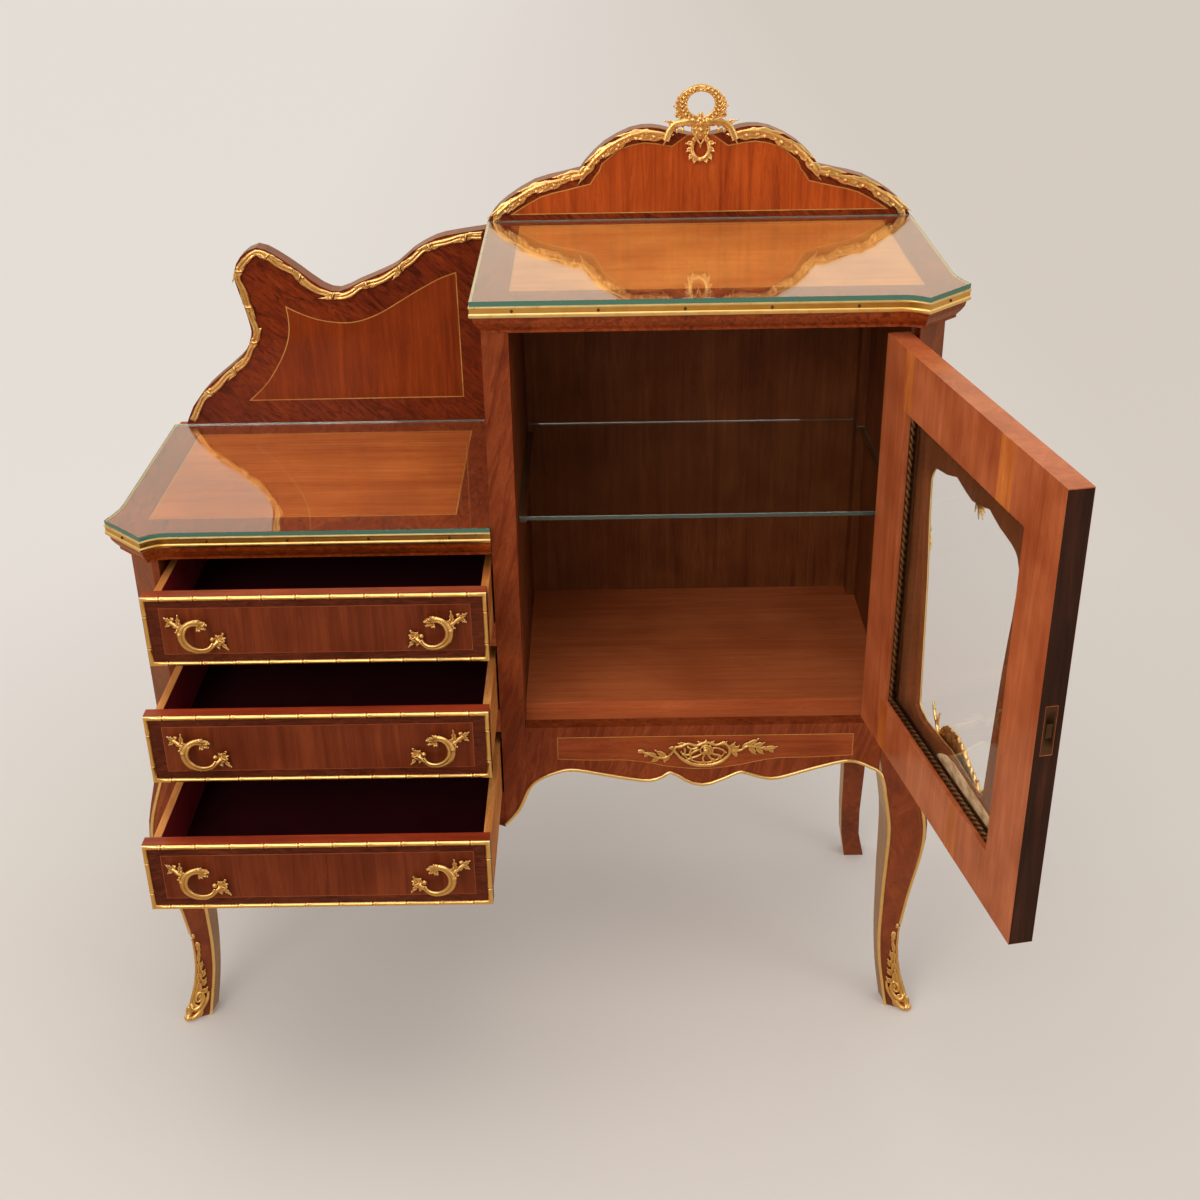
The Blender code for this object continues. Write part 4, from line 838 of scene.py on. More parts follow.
def leafAt(kind, place, along, outward, length, width, lift=None):
    # A copy of a leaf from its foot in a direction, its top turned outward. Sizes in millimetres
    along = along.normalized()
    across = outward.cross(along).normalized()
    outward = along.cross(across)
    size = Matrix.Diagonal((length * mm, width * mm, (lift or width) * mm, 1.0))
    turned = Matrix((along, across, outward)).transposed().to_4x4()
    leaf = objectFrom("leaf", leaves[kind].data.copy())
    leaf.data.transform(Matrix.Translation(place) @ turned @ size)
    return leaf


def castTogether(name, pieces, voxelMm, soften=2):
    # Fuses parts that overlap into one skin, as a casting is
    piece = joined(name, pieces)
    fuse = piece.modifiers.new("fuse", "REMESH")
    fuse.mode = "VOXEL"
    fuse.voxel_size = voxelMm * mm
    if soften:
        relax = piece.modifiers.new("relax", "SMOOTH")
        relax.factor = 0.5
        relax.iterations = soften
    applyModifiers(piece)
    bpy.ops.object.shade_smooth()
    return piece


def finishPiece(piece, material, body, replaced=()):
    piece.data.materials.clear()
    piece.data.materials.append(material)
    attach(piece, body)
    if replaced:
        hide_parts(*replaced)
    return piece


def mirroredCopy(piece, name):
    # Turns left and right round at the origin
    copy = objectFrom(name, piece.data.copy())
    copy.data.transform(Matrix.Scale(-1, 4, (1, 0, 0)))
    copy.data.flip_normals()
    return copy


def sweep(name, path, section, normal, closed=False, shares=None):
    # Draws a section along a flat line with mitred turns. Each corner of the section is a
    # distance to the right of the line and one along the normal
    count = len(path)
    sides = []
    for i in range(count):
        before = path[i] - path[i - 1] if i or closed else path[1] - path[0]
        after = path[(i + 1) % count] - path[i] if i < count - 1 or closed else before
        first = before.normalized().cross(normal)
        second = after.normalized().cross(normal)
        sides.append((first + second) / (1.0 + first.dot(second)))
    shares = shares or [1.0] * count
    rings = [
        [place + side * right * share + normal * up * share for right, up in section]
        for place, side, share in zip(path, sides, shares)
    ]
    return skinOver(name, rings, closed)


def mergedNode(name):
    # A CAD node's mesh without doubles
    bm = bmesh.new()
    bm.from_mesh(nodes[name].data)
    bmesh.ops.remove_doubles(bm, verts=bm.verts, dist=0.00002)
    return bm


def mergedCorners(name):
    bm = mergedNode(name)
    places = [vertex.co.copy() for vertex in bm.verts]
    bm.free()
    return places


def faceRims(name, normal, level):
    # The closed edges of the flat face that looks along the normal at that distance
    bm = mergedNode(name)
    bm.normal_update()
    flat = set()
    for face in bm.faces:
        distance = face.calc_center_median().dot(normal)
        if face.normal.dot(normal) > 0.999 and abs(distance - level) < 0.0002:
            flat.add(face)
    links = {}
    for edge in bm.edges:
        if sum(face in flat for face in edge.link_faces) == 1:
            a, b = edge.verts
            links.setdefault(a, []).append(b)
            links.setdefault(b, []).append(a)
    rims = []
    while links:
        start = next(iter(links))
        rim = [start]
        current = start
        while True:
            nextOnes = [v for v in links.get(current, ()) if v not in rim]
            if not nextOnes:
                break
            current = nextOnes[0]
            rim.append(current)
        for vertex in rim:
            links.pop(vertex, None)
        rims.append([vertex.co.copy() for vertex in rim])
    bm.free()
    return sorted(rims, key=len, reverse=True)


def spaced(path, step):
    # Points and directions at even distances along a line
    result = []
    carried = 0.0
    for first, second in zip(path, path[1:]):
        length = (second - first).length
        travelled = carried
        while travelled < length:
            result.append((first.lerp(second, travelled / length), (second - first).normalized()))
            travelled += step
        carried = travelled - length
    return result


def offsetLine(path, normal, distance):
    # Moves an open flat line to its right-hand side
    sides = [(b - a).normalized().cross(normal) for a, b in zip(path, path[1:])]
    result = []
    for i, place in enumerate(path):
        before = sides[max(i - 1, 0)]
        after = sides[min(i, len(sides) - 1)]
        result.append(place + (before + after) / (1.0 + before.dot(after)) * distance)
    return result


print("helpers ready")


# Finishes of the CAD nodes. Those that aren't named here are gilt castings and hinges

drawers = ("drawer_1", "drawer_2", "drawer_3")
nodeFinishes = (
    (crossbandTop, ("tall_top_panel", "low_top_panel")),
    (crossbandWood, ("low_backboard", "crest_board", "drawer_case_bottom")),
    (crossbandSide, ("front_right_leg", "front_left_leg", "rear_right_leg", "rear_left_leg")),
    (crossbandSide, ("right_side_panel",)),
    (crossbandBright, ("left_side_panel",)),
    (crossbandCalm, ("partition_panel", "front_apron")),
    (floorWood, ("cabinet_floor",)),
    (stainAndShadeWood, ("cabinet_back_panel", "drawer_case_back", "door_shaped_face")),
    (stainAndShadeWood, ("shelf_rest_left", "shelf_rest_right")),
    (mahoganyWood, ("drawer_divider_upper", "drawer_divider_lower")),
    (mahoganyUpright, ("door_frame",)),
    (topGlass, ("tall_top_glass", "low_top_glass")),
    (shelfGlass, ("glass_shelf",)),
    (doorGlass, ("door_glass",)),
    (nearBlackMetalShade, ("door_lock", "lock_bolt")),
    (drawerBand, [drawer + "_front" for drawer in drawers]),
    (beechWood, [drawer + "_box" for drawer in drawers]),
    (bottomBaizeShade, [drawer + "_bottom" for drawer in drawers]),
)
finishOf = {name: material for material, names in nodeFinishes for name in names}
for name in nodes:
    nodes[name].data.materials.clear()
    nodes[name].data.materials.append(finishOf.get(name, giltBrass))
print("nodes finished")


# Gilt border of the low backboard: a split reed tied by knots with curled leaf tips

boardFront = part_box("low_backboard")[0].y
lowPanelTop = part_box("low_top_panel")[1].z
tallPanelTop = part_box("tall_top_panel")[1].z
borderStep = 0.004
reedBorder = {
    "inset": 7.2,
    "strand": 2.6,
    "apart": 2.3,
    "off": 2.6,
    "waveSteps": 14.25,
    "swing": 1.5,
    "swell": 0.18,
    "knotEvery": 56.0,
    "knotRing": (5.2, 3.6, 1.6),
    "knotTube": 1.3,
    "knotOff": 1.4,
    # Leaves of a knot: kind, place along and across the reed, lean along and across it, whether
    # it changes sides at every other knot, and length, width and lift
    "leaves": (
        ("long", -6, 2.4, 1.0, 0.08, True, (28, 7.5, 7)),
        ("long", 6, -2.4, -1.0, -0.10, True, (24, 7, 7)),
        ("plain", 0, -1.5, 1.5, 0.8, False, (9.5, 6.5, 6)),
        ("plain", 0, 1.5, -1.4, -0.8, False, (9, 6, 6)),
        ("plain", 14, 0, 1.5, 0.5, True, (10, 5.5, 6)),
    ),
    "bud": (4, -3.6, 2.2),
    "voxel": 0.75,
    "clearGlass": 13.0,
    "clearTop": 19.0,
}


def boardEdge(name):
    # The wood's edge from its lower left corner over the top to its lower right corner
    rim = faceRims(name, outFront, -boardFront)[0]
    low = min(point.z for point in rim)
    right = max((point for point in rim if point.z < low + 0.001), key=lambda point: point.x)
    start = rim.index(right)
    rim = rim[start:] + rim[:start]
    if rim[1].x > rim[-1].x or (rim[1].z > rim[-1].z and abs(rim[1].x - rim[0].x) < 0.001):
        rim = [rim[0]] + rim[:0:-1]
    return rim[1:] + [rim[0]] if name == "crest_board" else rim[1:]


def reedPath():
    line = offsetLine(boardEdge("low_backboard"), outFront, reedBorder["inset"] * mm)
    low = lowPanelTop + reedBorder["clearGlass"] * mm
    right = caseOrigin.x - reedBorder["clearTop"] * mm
    return [p for p, d in spaced(line, borderStep) if p.z > low and p.x < right]


reedLine = [p + outFront * reedBorder["off"] * mm for p in reedPath()]
parts = []
for side in (-1, 1):
    strand = offsetLine(reedLine, outFront, side * reedBorder["apart"] * mm)
    swung = []
    for i, (p, q) in enumerate(zip(strand, reedLine)):
        wave = math.sin(math.tau * i / reedBorder["waveSteps"])
        swing = (p - q).normalized() * wave * side * reedBorder["swing"] * mm
        swung.append((p + swing, 1.0 + reedBorder["swell"] * wave))
    parts.append(bar(swung, reedBorder["strand"] * mm, steps=1))
wide, deep, slant = reedBorder["knotRing"]
knots = spaced(reedLine, reedBorder["knotEvery"] * mm)
for i, (p, d) in enumerate(knots[1:], 1):
    right = d.cross(outFront)
    turn = 1 if i % 2 else -1
    ring = loopOf(
        10,
        lambda c, s: p
        + right * wide * mm * c
        + outFront * deep * mm * s
        + d * slant * mm * c * turn,
    )
    parts.append(evenBar(ring, reedBorder["knotTube"], closed=True))
    front = p + outFront * reedBorder["knotOff"] * mm
    for kind, along, across, leanAlong, leanAcross, turns, size in reedBorder["leaves"]:
        hand = turn if turns else 1
        foot = front + d * along * mm + right * hand * across * mm
        lean = d * leanAlong + right * hand * leanAcross
        parts.append(leafAt(kind, foot, lean, outFront, *size))
    along, across, radius = reedBorder["bud"]
    parts.append(knob(front + d * along * mm * turn + right * across * mm * turn, radius))
backboardBorder = castTogether("backboard_reed_border", parts, reedBorder["voxel"])
finishPiece(backboardBorder, giltBrass, "carcase", ["backboard_gilt_border"])
print("reed border made")


# Gilt border of the crest: long leaves that overlap from the middle down to both ends

leafBorder = {
    "inset": 6.0,
    "stem": 3.0,
    "off": 3.0,
    "every": 28.0,
    "start": 44.0,
    "length": 44.0,
    "width": 12.5,
    "tilts": (-0.20, 0.13),
    "foot": (-4, 0.6),
    "tip": (24, 1.5),
    "pointsApart": 7,
    "pointsAhead": 10,
    "shortestAhead": 15,
    "clearGlass": 13.5,
    "voxel": 0.8,
}
crestEdge = boardEdge("crest_board")
crestMiddle = (crestEdge[0].x + crestEdge[-1].x) / 2
crestLow = tallPanelTop + leafBorder["clearGlass"] * mm
crestLine = offsetLine(crestEdge, outFront, leafBorder["inset"] * mm)
crestLine = [
    p + outFront * leafBorder["off"] * mm
    for p, d in spaced(crestLine, borderStep)
    if p.z > crestLow
]
parts = []
leftHalf = [p for p in crestLine if p.x < crestMiddle - leafBorder["start"] * mm][::-1]
rightHalf = [p for p in crestLine if p.x > crestMiddle + leafBorder["start"] * mm]
for half, hand in ((leftHalf, -1), (rightHalf, 1)):
    parts.append(evenBar(half, leafBorder["stem"], steps=1))
    stations = spaced(half, leafBorder["every"] * mm)
    for i, (p, d) in enumerate(stations):
        # A leaf points at the place of the line that its tip reaches, also round a hollow
        target = min(len(half) - 1, i * leafBorder["pointsApart"] + leafBorder["pointsAhead"])
        ahead = half[target] - p
        if ahead.length > leafBorder["shortestAhead"] * mm:
            d = ahead.normalized()
        right = d.cross(outFront) * hand
        foot = p + d * leafBorder["foot"][0] * mm + outFront * leafBorder["foot"][1] * mm
        tip = p + d * leafBorder["tip"][0] * mm + outFront * leafBorder["tip"][1] * mm
        lean = d - right * leafBorder["tilts"][i % 2]
        last = i == len(stations) - 1
        length = leafBorder["length"] * (0.5 if last else 1.0)
        parts.append(leafAt("long", foot, lean, outFront, length, leafBorder["width"], 9))
        if last:
            continue
        # Two small leaves and a bud at the tip, and one that lies along the stem
        for place, lean, size in (
            (tip, 0.30, (13, 10, 9)),
            (tip - d * 5 * mm, -0.12, (12, 8, 9)),
            (foot + right * 2 * mm, 0.05, (30, 8, 10)),
        ):
            parts.append(leafAt("plain", place, d + right * lean, outFront, *size))
        parts.append(knob(tip + right * 4 * mm - d * 5 * mm, 2.4))
crestBorder = castTogether("crest_leaf_border", parts, leafBorder["voxel"])
finishPiece(crestBorder, giltBrass, "carcase", ["crest_gilt_border"])
print("crest border made")


# Wreath over the crest: a ring of leaves, a knot with two ribbons and a hanging oval ring. Its
# places are right and up from the ring's middle, and off the board

wreath = {
    "radius": 28.9,
    "ring": (24.5, 22.2),
    "tube": 4.9,
    "off": 6.5,
    "crescent": (31, 25.4),
    "crescentTube": 4.6,
    "leafRing": (24, 21.5),
    # Sprigs that stand out at the sides and beside the foot: place, lean and length
    "sprigs": (
        ((24, -6, 1.5), (1.0, 0.25), 15),
        ((23, -11, 1.5), (1.0, -0.25), 14),
        ((27, -1, 1.5), (0.6, 1.0), 12),
        ((15, -19, 1.5), (1.0, 0.1), 20),
        ((19, -23, 1.5), (1.0, -0.35), 17),
        ((10, -22, 1.5), (1.0, 0.45), 15),
    ),
    "ribbon": (
        (6, -25, 3),
        (16, -24, 4),
        (27, -25.5, 3),
        (37, -28.5, 2),
        (44, -37, 2.4),
        (49.5, -50, 3.4),
    ),
    "ribbonTube": 3.3,
    "tassels": ((33.5, -36.5), (25.5, -36.0)),
    "panel": (13.0, 5.5, 14.5),
    "panelDrop": 34.5,
    "panelEdge": ((5, -27, 5), (11, -31, 4), (11.5, -38, 3.5), (8, -44, 3.5), (12, -50, 2.0)),
    "oval": (12.2, 15.2),
    "ovalTube": 3.6,
    "ovalDrop": 61.5,
    "hanger": ((6.5, -47.5, 1.5, 1.0), (3.0, -52, 1.5, 0.9), (0, -57.5, 1.0, 0.7)),
    "voxel": 0.65,
}
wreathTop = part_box("crest_wreath_mount")[1].z
wreathMiddle = Vector(
    (crestMiddle, boardFront - wreath["off"] * mm, wreathTop - wreath["radius"] * mm)
)


def onWreath(right, up, off=0.0):
    return wreathMiddle + Vector((right * mm, -off * mm, up * mm))


def wreathLeaf(kind, side, place, lean, *size):
    foot = onWreath(side * place[0], *place[1:])
    return leafAt(kind, foot, upright(side * lean[0], lean[1]), outFront, *size)


ringWide, ringHigh = wreath["ring"]
ring = loopOf(16, lambda c, s: onWreath(ringWide * c, ringHigh * s))
parts = [evenBar(ring, wreath["tube"], closed=True)]
for side in (-1, 1):
    # A crescent outside the ring, thickest at its foot
    wide, high = wreath["crescent"]
    crescent = []
    for step in range(9):
        angle = math.radians(-78 + step * 16)
        place = onWreath(side * wide * math.cos(angle), high * math.sin(angle), 0.4)
        crescent.append((place, 1.1 - 0.09 * step))
    parts.append(bar(crescent, wreath["crescentTube"] * mm))
    wide, high = wreath["leafRing"]
    for step in range(11):
        # Pairs of leaves climb both sides from the foot to the crown
        angle = math.radians(-82 + step * 15)
        c, s = math.cos(angle), math.sin(angle)
        share = max(1.0 - step * 0.06, 0.45)
        along, outward = upright(-side * s, c), upright(side * c, s)
        inner = (side * wide * c, high * s)
        outer = (side * (25 + 7 * share) * c, (22 + 2.5 * share) * s)
        between = ((outer[0] + inner[0]) / 2, (outer[1] + inner[1]) / 2)
        lean = along + outward * (0.6 if step < 7 else 0.1)
        size = (12 * share + 1, 8.5 * share + 1, 9)
        parts.append(leafAt("plain", onWreath(*outer, 4.2), lean, outFront, *size))
        lean = along - outward * 0.5
        parts.append(leafAt("plain", onWreath(*inner, 4.6), lean, outFront, 10, 6, 9))
        parts.append(ball(onWreath(*between, 5.2), [2.1 * mm] * 3, 10, 8))
    for place, lean, length in wreath["sprigs"]:
        parts.append(wreathLeaf("toothed", side, place, lean, length * 0.85, 11, 9))
    # A ribbon of three strands, which hangs down past its second fold
    for shift in (-1.9, 0.0, 1.9):
        strand = []
        for i, (x, z, off) in enumerate(wreath["ribbon"]):
            sideways, upwards = (1.0, 0.3) if i > 3 else (0.2, 1.0)
            place = onWreath(side * x, z + shift * upwards, off)
            strand.append(place + Vector((side * shift * mm * sideways, 0, 0)))
        parts.append(evenBar(strand, wreath["ribbonTube"]))
    parts.append(wreathLeaf("plain", side, (42, -34, 3), (0.5, -1.0), 21, 9, 7))
    parts.append(wreathLeaf("toothed", side, (33, -27, 3), (1.0, 0.25), 17, 8, 7))
    for across, up in wreath["tassels"]:
        parts.append(knob(onWreath(side * across, up, 1.5), 2.6, 2.0, 4.2))
        cord = (onWreath(side * across, up + 3, 1.5), onWreath(side * (across - 1), -28, 1.5))
        parts.append(evenBar(cord, 1.4))

# The knot: a chased panel that narrows downwards, with a rosette and small leaves round it
parts.append(knob(onWreath(0, -wreath["panelDrop"], 1.0), *wreath["panel"]))
parts.append(knob(onWreath(0, -27, 2.5), 13, 4.5, 4.2))
for petal in loopOf(8, upright):
    parts.append(leafAt("plain", onWreath(0, -34, 5.4) + petal * mm, petal, outFront, 8.5, 5.5, 7))
parts.append(knob(onWreath(0, -35, 6.6), 2.4, 2.0, 2.4))
for side in (-1, 1):
    parts.append(evenBar([onWreath(side * x, z, off) for x, z, off in wreath["panelEdge"]], 1.8))
    parts.append(wreathLeaf("plain", side, (6, -43, 4), (0.35, -1), 10, 5, 6))
parts.append(knob(onWreath(0, -14.5, 3.0), 3.4, 2.8, 4.6))
parts.append(knob(onWreath(0, -20, 3.0), 5.0, 3.4, 3.6))

# The hanging ring, with leaves outside it and a pointed drop inside
ovalWide, ovalHigh = wreath["oval"]
drop = wreath["ovalDrop"]
oval = loopOf(14, lambda c, s: onWreath(ovalWide * c, ovalHigh * s - drop, -0.4))
parts.append(evenBar(oval, wreath["ovalTube"], closed=True))
for side in (-1, 1):
    for degrees, spread, length in ((30, 0.9, 12), (2, 0.5, 11), (-28, 0.25, 12), (-55, 0.0, 10)):
        c, s = math.cos(math.radians(degrees)), math.sin(math.radians(degrees))
        place = (12.8 * c, 15.6 * s - drop, 1.0)
        lean = (c * 0.5 + spread * 0.6, s - 0.6)
        parts.append(wreathLeaf("toothed", side, place, lean, length * 0.75, 8.5, 8))
    hanger = [(onWreath(side * x, z, off), share) for x, z, off, share in wreath["hanger"]]
    parts.append(bar(hanger, 1.7 * mm))
parts.append(knob(onWreath(0, -58.5, 1.0), 1.6, 1.6, 2.6))
parts.append(knob(onWreath(0, -77.5, 1.2), 4.0, 2.6, 3.4))
wreathMount = castTogether("wreath_mount", parts, wreath["voxel"], soften=1)
finishPiece(wreathMount, giltBrass, "carcase", ["crest_wreath_mount"])
print("wreath made")


# Drawer handles: a double C scroll with a spray at one end and a flower at the other, made once
# for the left side. Its places are right, up and off the drawer's face

handle = {
    "size": 0.93,
    "shift": (1.6, 0.6),
    # Points of the tubes: right, up, off and a share of the radius
    "outer": (
        (12.2, 15.6, 8.6, 0.8),
        (1.8, 18.4, 10.6, 1.0),
        (-8.5, 18.6, 13.0, 1.0),
        (-17.5, 12.5, 15.2, 1.05),
        (-22.0, 2.5, 16.6, 1.15),
        (-21.8, -6.0, 16.6, 1.1),
        (-17.0, -15.6, 16.6, 1.05),
        (-8.0, -22.4, 16.0, 1.0),
        (2.5, -25.2, 15.0, 0.95),
        (11.0, -25.0, 13.2, 0.9),
        (17.5, -21.6, 11.0, 0.85),
        (23.5, -16.2, 8.4, 1.0),
        (29.0, -13.2, 5.6, 1.2),
    ),
    "outerTube": 3.1,
    "inner": (
        (3.5, 13.2, 11.2, 0.9),
        (-4.8, 14.9, 13.6, 1.0),
        (-11.2, 12.0, 15.4, 1.1),
        (-15.0, 5.6, 17.2, 1.15),
        (-15.9, -1.5, 17.8, 1.15),
        (-12.6, -11.0, 17.8, 1.1),
        (-4.5, -18.2, 17.2, 1.05),
        (5.5, -21.0, 15.6, 1.0),
        (13.8, -19.0, 13.0, 0.9),
        (18.4, -13.5, 10.4, 0.8),
    ),
    "innerTube": 2.1,
    "innerGrown": 1.07,
    "spray": (
        (-19.5, 10.5, 15.0, 1.0),
        (-25.5, 11.5, 11.5, 1.0),
        (-31.0, 14.5, 7.6, 1.1),
        (-37.0, 17.0, 4.6, 1.1),
    ),
    "sprayTube": 2.6,
    # Knuckles: place, then one radius or three
    "knuckles": (
        ((-22.6, 3.2, 16.6), (4.1,)),
        ((19.6, -8.6, 9.6), (3.3,)),
        ((-32.2, 22.2, 6.5), (2.3,)),
        ((0.6, 6.0, 10.5), (1.9, 1.9, 2.6)),
        ((26.8, -23.6, 5.0), (2.6, 2.2, 2.2)),
    ),
    "leafScale": (0.86, 1.3, 1.15),
    # Leaves: place, lean, and length, width and lift
    "leaves": (
        # The upright leaf and the flower of the spray
        ((-24.5, 13.0, 11.5), (0.05, 1.0), (16.5, 5.6, 7)),
        ((-36.0, 17.0, 5.0), (-1.0, 0.75), (10.5, 6.0, 6)),
        ((-36.0, 16.0, 5.0), (-0.9, -0.75), (9.5, 6.0, 6)),
        ((-34.5, 18.0, 6.0), (0.0, 1.0), (6.0, 4.5, 6)),
        ((-33.0, 14.5, 6.0), (0.25, -1.0), (6.5, 4.5, 6)),
        # Leaves at the knuckle
        ((-21.0, 9.5, 14.5), (-0.9, -0.5), (8.5, 5.5, 6)),
        ((-19.0, 12.5, 14.5), (-0.5, 1.0), (7.5, 4.5, 6)),
        # The leafy head at the upper end
        ((0.5, 17.5, 10.8), (1.0, -0.25), (13.5, 8.5, 8)),
        ((-2.0, 19.0, 11.6), (1.0, 0.55), (8.0, 5.0, 7)),
        ((3.0, 14.5, 10.4), (1.0, -0.85), (11.0, 7.5, 8)),
        ((1.5, 12.8, 10.6), (0.35, -1.0), (8.5, 6.0, 7)),
        ((-6.0, 19.5, 12.6), (1.0, 0.15), (9.5, 5.5, 7)),
        # The flower and tail at the lower end
        ((27.5, -14.0, 6.4), (0.6, 1.0), (13.5, 8.5, 8)),
        ((28.5, -13.5, 6.4), (1.0, 0.55), (9.5, 7.0, 8)),
        ((22.0, -17.5, 8.6), (1.0, 0.35), (14.0, 8.5, 9)),
        ((28.5, -14.5, 5.6), (0.75, -0.95), (16.5, 5.6, 7)),
        ((24.5, -17.5, 6.6), (0.35, -1.0), (8.5, 5.0, 6)),
        ((27.0, -13.0, 6.8), (-0.25, 1.0), (9.0, 6.0, 7)),
    ),
    "posts": ((-33.5, 15.5), (29.0, -13.2)),
    "postReach": (0.5, 6.0),
    "postTube": 3.0,
    "fromLeft": 69,
    "fromRight": 67,
    "voxel": 0.5,
}


def onHandle(right, up, off):
    size = handle["size"] * mm
    moveRight, moveUp = handle["shift"]
    return Vector(((right + moveRight) * size, -off * size, (up + moveUp) * size))


def handleBar(points, radius):
    return bar([(onHandle(x, z, off), share) for x, z, off, share in points], radius * mm, sides=3)


grown = handle["innerGrown"]
innerScroll = [(x * grown, (z + 2) * grown - 2, off, share) for x, z, off, share in handle["inner"]]
parts = [
    handleBar(handle["outer"], handle["outerTube"]),
    handleBar(innerScroll, handle["innerTube"]),
    handleBar(handle["spray"], handle["sprayTube"]),
]
parts += [knob(onHandle(*place), *radii) for place, radii in handle["knuckles"]]
for place, lean, size in handle["leaves"]:
    size = [length * scale for length, scale in zip(size, handle["leafScale"])]
    parts.append(leafAt("toothed", onHandle(*place), upright(*lean), outFront, *size))
# The posts that reach the drawer's face
for x, z in handle["posts"]:
    parts.append(evenBar([onHandle(x, z, off) for off in handle["postReach"]], handle["postTube"]))
leftHandle = castTogether("left_handle", parts, handle["voxel"], soften=1)
rightHandle = mirroredCopy(leftHandle, "right_handle")
print("handle made")

for drawer in drawers:
    low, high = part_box(drawer + "_front")
    for side, template, x in (
        ("left", leftHandle, low.x + handle["fromLeft"] * mm),
        ("right", rightHandle, high.x - handle["fromRight"] * mm),
    ):
        copy = objectFrom(drawer + "_scroll_handle_" + side, template.data.copy())
        copy.data.transform(Matrix.Translation((x, low.y, (low.z + high.z) / 2)))
        finishPiece(copy, giltBrass, drawer, [drawer + "_handle_" + side])
for template in (leftHandle, rightHandle):
    bpy.data.objects.remove(template, do_unlink=True)


# Drawer borders: half-round brass with paired rings like bamboo

bamboo = {
    "width": 6.2,
    "proud": 3.0,
    "every": 45.0,
    # Half of a pair of rings from its outer end to the groove: distance and share of the radius
    "pair": ((9, 0.94), (3.2, 1.0), (2.2, 1.10), (1.3, 1.08), (0.7, 0.78)),
}
pairStops = [(-far, share) for far, share in bamboo["pair"]] + list(bamboo["pair"][::-1])


def fourCorners(a0, a1, b0, b1):
    return ((a0, b0), (a1, b0), (a1, b1), (a0, b1))


def bambooBorder(name, low, high):
    half = bamboo["width"] * mm / 2
    y = low.y - 0.0003
    # Clockwise from the upper left, seen from the front
    corners = fourCorners(low.x + half, high.x - half, high.z - half, low.z + half)
    corners = [Vector((x, y, z)) for x, z in corners]
    path, shares = [], []
    for i, corner in enumerate(corners):
        end = corners[(i + 1) % 4]
        along = (end - corner).normalized()
        length = (end - corner).length
        count = max(round(length / (bamboo["every"] * mm)), 2)
        path.append(corner)
        shares.append(1.0)
        for k in range(count):
            centre = length * (k + 0.5) / count
            for shift, share in pairStops:
                path.append(corner + along * (centre + shift * mm))
                shares.append(share)
    section = []
    for step in range(9):
        angle = math.pi * step / 8
        section.append((-half * math.cos(angle), bamboo["proud"] * mm * math.sin(angle)))
    return sweep(name, path, section, outFront, closed=True, shares=shares)


for drawer in drawers:
    border = bambooBorder(drawer + "_bamboo_border", *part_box(drawer + "_front"))
    activate(border)
    bpy.ops.object.shade_smooth_by_angle(angle=math.radians(50))
    finishPiece(border, giltStrip, drawer, [drawer + "_brass_border"])
print("drawer fittings made")


# Brass edge of the tops: an upper bead, a flat band with pins and a lower bead

# Corners of the strip's section: outwards and up from its upper outer edge
edgeSection = (
    (-3.9, 0.0),
    (-0.7, 0.0),
    (-0.2, -0.3),
    (0.0, -1.0),
    (0.0, -1.9),
    (-0.3, -2.6),
    (-1.0, -3.1),
    (-1.1, -8.9),
    (-0.7, -9.4),
    (-0.1, -10.2),
    (0.0, -11.4),
    (0.0, -12.9),
    (-0.4, -14.1),
    (-1.0, -14.7),
    (-3.9, -14.7),
)


def edgeLine(name):
    # The outer line of a top's brass edge, from above anticlockwise seen from the case's middle
    low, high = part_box(name)
    rim = faceRims(name, skyward, high.z)[0]
    count = len(rim)
    ends = sorted(sorted(range(count), key=lambda i: (rim[(i + 1) % count] - rim[i]).length)[:2])
    first = rim[ends[0] + 1 : ends[1] + 1]
    second = rim[ends[1] + 1 :] + rim[: ends[0] + 1]
    lengths = [sum((b - a).length for a, b in zip(line, line[1:])) for line in (first, second)]
    outer = first if lengths[0] > lengths[1] else second
    middle = Vector(((low.x + high.x) / 2, (low.y + high.y) / 2, high.z))
    moved = offsetLine(outer, skyward, 0.01)
    if sum((p - middle).length for p in moved) < sum((p - middle).length for p in outer):
        outer = outer[::-1]
    return outer


# Dark pins where the brass edges have pin holes; their near-black colour is painted shade of the
# holes
edgePin = {"every": 118, "shortest": 20, "inset": 1.05, "drop": 6.0, "radii": (2.1, 1.7, 2.1)}
pinParts = []
for top in ("tall", "low"):
    line = edgeLine(top + "_top_brass_edge")
    section = [(right * mm, up * mm) for right, up in edgeSection]
    strip = sweep(top + "_edge_moulding", line, section, skyward)
    activate(strip)
    bpy.ops.object.shade_smooth_by_angle(angle=math.radians(35))
    finishPiece(strip, giltStrip, "carcase", [top + "_top_brass_edge"])
    for a, b in zip(line, line[1:]):
        length = (b - a).length
        if length < edgePin["shortest"] * mm:
            continue
        outward = (b - a).normalized().cross(skyward)
        count = max(round(length / (edgePin["every"] * mm)), 1)
        for k in range(count):
            place = a.lerp(b, (k + 0.5) / count) - outward * edgePin["inset"] * mm
            place += Vector((0, 0, -edgePin["drop"] * mm))
            pinParts.append(ball(place, [r * mm for r in edgePin["radii"]], 10, 6))
pinHoleShade = joined("edge_pin_hole_shade", pinParts)
activate(pinHoleShade)
bpy.ops.object.shade_smooth()
finishPiece(pinHoleShade, nearBlackMetalShade, "carcase")
print("brass edges made")


# Gilt lines along the apron's lower edge and the edges of the front legs. Heights in metres

giltLine = {
    "radius": 2.6,
    "ridgeRadius": 2.8,
    "off": 0.8,
    "legTop": 0.5206,
    "archTop": 0.47,
    "leftTop": 0.37,
    "ridge": (0.14, 0.5),
}


